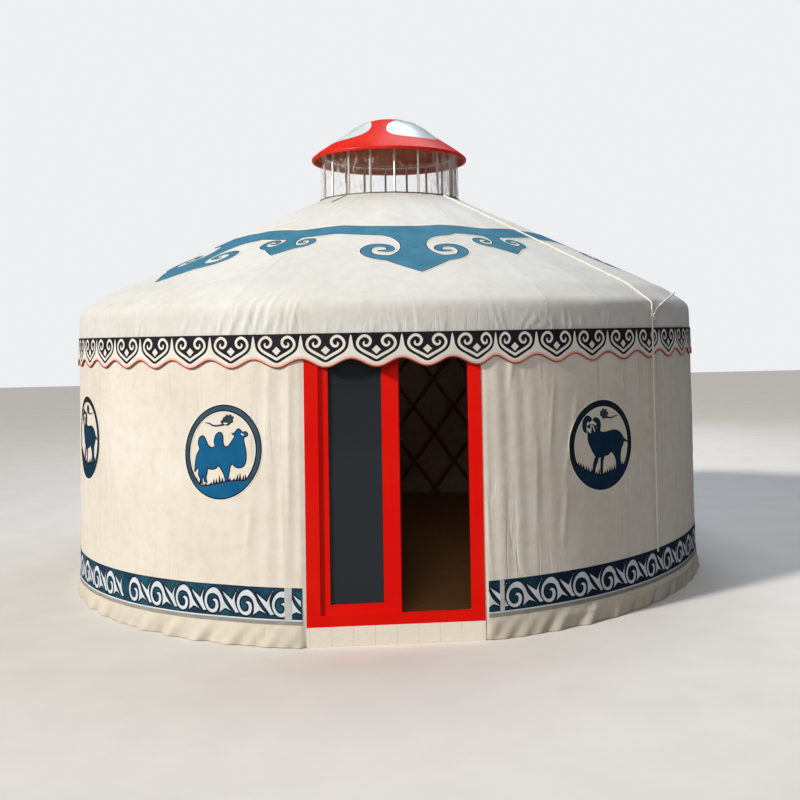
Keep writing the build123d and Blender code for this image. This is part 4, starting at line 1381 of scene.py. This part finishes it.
def makeCap():
    shell = spunCap("CapShell", cap["wallThickness"])
    cutPanes(shell, "DIFFERENCE", 0.0)
    panes = spunCap("CapPanes", cap["wallThickness"] - cap["paneGap"])
    cutPanes(panes, "INTERSECT", -cap["paneGap"])
    joined([shell, rolledRim()])
    # Glass-fibre shell, moulded in red gel coat: glossy, faintly wavy, bleached where the sun reaches it.
    red = grainFinish("Red gel coat, moulded glass fibre", (5.0, 5.0, 0.6),
                      (0.35, "#D81506", 0.75, "#E5301B"), (0.3, 0.003),
                      {"Roughness": 0.45, "IOR": 1.5, "Specular IOR Level": 0.2, "Coat Weight": 0.08,
                       "Coat Roughness": 0.2})
    # The inner side: glass-fibre laminate, laid by hand, orange-brown resin over coarse strands.
    laminate = grainFinish("Bare laminate, hand laid glass fibre", (38.0, 6.0, 0.7, 1.2),
                           (0.35, "#C84C10", 0.68, "#F08A44"), (0.4, 0.002),
                           {"Roughness": 0.6, "IOR": 1.5, "Specular IOR Level": 0.25})
    # Ribless acrylic, vacuum formed: milky white, glossy, passing soft light.
    milky = grainFinish("Milky acrylic, vacuum formed", (7.0, 5.0), (0.35, "#DDE4E8", 0.65, "#F5F8FA"),
                        (0.2, 0.002), {"Roughness": 0.22, "IOR": 1.49, "Subsurface Weight": 0.3})
    for piece, slotName, face in ((shell, "red_plastic", red), (panes, "milky_plastic", milky)):
        finishPiece(piece, "yurt", slotName, [face, laminate], 35)
        bareInside(piece)
    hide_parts("cap_shell")
    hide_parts("cap_panes")


makeCap()
report("cap made")


# ---- Finishes of the frame

def timberFinish(name, pale, dark, along, boardMm=0):
    # Softwood, planed and oiled: straight grain along the piece, darker in the late wood.
    finish, tree = newFinish(name)
    squeeze = addNode(tree, "Mapping", {"Scale": along, "Vector": objectPlace(tree)})
    grain = noise(tree, 1000.0 / 14.0, 6.0, 0.6, 0.4, squeeze)
    shade = ramp(tree, grain, 0.35, dark, 0.65, pale)
    if boardMm:
        # butted boards: a dark hairline every board's width
        within = combine(tree, "FRACT", combine(tree, "MULTIPLY", objectPlace(tree, 0), 1000.0 / boardMm))
        gap = remap(tree, within, 0.0, 0.035, 0.55, 0.0)
        shade = blend(tree, gap, blend(tree, gap, shade, dark), "#B8AC98", "MULTIPLY")
    return surfaced(finish, tree, {"Roughness": 0.55, "IOR": 1.5, "Base Color": shade,
                                   "Normal": bump(tree, grain, 0.4, 0.0008)})


def paintFinish(name, colour, worn, rough):
    # Enamel brushed on steel section: even and satin, with a faint brush drag and rubbed spots.
    finish, tree = newFinish(name)
    stretch = addNode(tree, "Mapping", {"Scale": (30.0, 30.0, 2.5), "Vector": objectPlace(tree)})
    drag = bump(tree, noise(tree, 3.0, 5.0, over=stretch), 0.2, 0.0006)
    tone = ramp(tree, noise(tree, 4.0, 5.0), 0.35, colour, 0.8, worn)
    return surfaced(finish, tree, {"Roughness": rough, "IOR": 1.5, "Specular IOR Level": 0.12,
                                   "Base Color": tone, "Normal": drag})


def steelFinish(name, pale, dark, rough):
    # Hot-dip galvanised steel: dull grey with faint spangle.
    finish, tree = newFinish(name)
    spangle = addNode(tree, "TexVoronoi", {"Scale": 90.0, "Vector": objectPlace(tree)})
    return surfaced(finish, tree, {"Metallic": 1.0, "Roughness": rough,
                                   "Base Color": ramp(tree, spangle, 0.1, dark, 0.8, pale)})


def glassFinish():
    # Float glass, smooth, with a light film of dust. Its dark colour, mostly opaque, is painted shade
    # standing in for the dim room seen through it.
    finish, tree = newFinish("Float glass, darkened as painted shade")
    dull = remap(tree, noise(tree, 6.0, 8.0, 0.7), 0.3, 0.8, 0.04, 0.14)
    return surfaced(finish, tree, {"Base Color": "#2B333A", "IOR": 1.52, "Alpha": 0.74, "Roughness": dull})


def dressFrame():
    lath = timberFinish("Lattice ash, planed and oiled", "#B98A5A", "#8F6238", (6.0, 6.0, 0.6))
    pole = timberFinish("Roof pole ash, planed and oiled", "#B98450", "#8A5A30", (1.0, 1.0, 5.0))
    deck = timberFinish("Deck boards, planed pine", "#C79F6E", "#9E7546", (0.35, 6.0, 6.0))
    plinth = timberFinish("Plinth board, painted pine", "#FFFAF0", "#F4EBDC", (0.6, 6.0, 6.0), 118.0)
    red = paintFinish("Door steel, red enamel", "#EA0D04", "#EC1C0B", 0.42)
    steel = steelFinish("Galvanised steel, hot dipped", "#F0EEE9", "#D6D4CE", 0.55)
    hoop = steelFinish("Steel wire, weathered zinc", "#7F807C", "#65665F", 0.65)
    looks = ((lath, ("lattice_wall", "door_lintel")), (pole, ("roof_poles", "crown_ring")),
             (steel, ("lantern_bars", "lantern_top_ring")), (hoop, ("lantern_hoop",)),
             (deck, ("floor_deck", "floor_frame")), (plinth, ("door_plinth",)),
             (red, ("door_jamb", "door_sill", "door_head", "fixed_leaf_frame", "sliding_leaf_frame")),
             (glassFinish(), ("fixed_leaf_glass", "sliding_leaf_glass")))
    for finish, starts in looks:
        for name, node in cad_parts.items():
            if name.startswith(starts):
                node.data.materials.clear()
                node.data.materials.append(finish)


dressFrame()
report("frame dressed")


# ---- Door gaskets

gasket = {"width": 0.011, "thickness": 0.003, "proud": 0.0012, "round": 0.0006}


def makeGaskets():
    # EPDM rubber, extruded: black, matt, greyed by dust. The black strips round the glass are partly real
    # gasket and partly painted shade for the shadow along the glass edge.
    black = grainFinish("EPDM rubber, partly painted glass-edge shade", (60.0, 4.0), (0.4, "#0E0F10", 0.8, "#26272A"), None,
                        {"Roughness": 0.75})
    for leaf, body in (("fixed_leaf", "yurt"), ("sliding_leaf", "sliding_leaf")):
        low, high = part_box(leaf + "_glass")
        for side, face, turn in (("Out", low[1], 1), ("In", high[1], -1)):
            selectNone()
            place = ((low[0] + high[0]) / 2, face - turn * gasket["proud"], (low[2] + high[2]) / 2)
            bpy.ops.mesh.primitive_plane_add(size=1, location=place, rotation=(radians(90 * turn), 0, 0))
            piece = bpy.context.object
            piece.scale = (high[0] - low[0], high[2] - low[2], 1)
            piece.name = "Gasket" + leaf.split("_")[0].title() + side
            bpy.ops.object.transform_apply(location=True, rotation=True, scale=True)
            bpy.ops.object.mode_set(mode="EDIT")
            bpy.ops.mesh.select_all(action="SELECT")
            bpy.ops.mesh.inset(thickness=gasket["width"])
            bpy.ops.mesh.delete(type="FACE")
            bpy.ops.object.mode_set(mode="OBJECT")
            applyModifier(piece, "SOLIDIFY", thickness=gasket["thickness"], offset=0)
            applyModifier(piece, "BEVEL", width=gasket["round"], segments=2)
            finishPiece(piece, body, "door_glass", [black])


makeGaskets()
report("gaskets made")
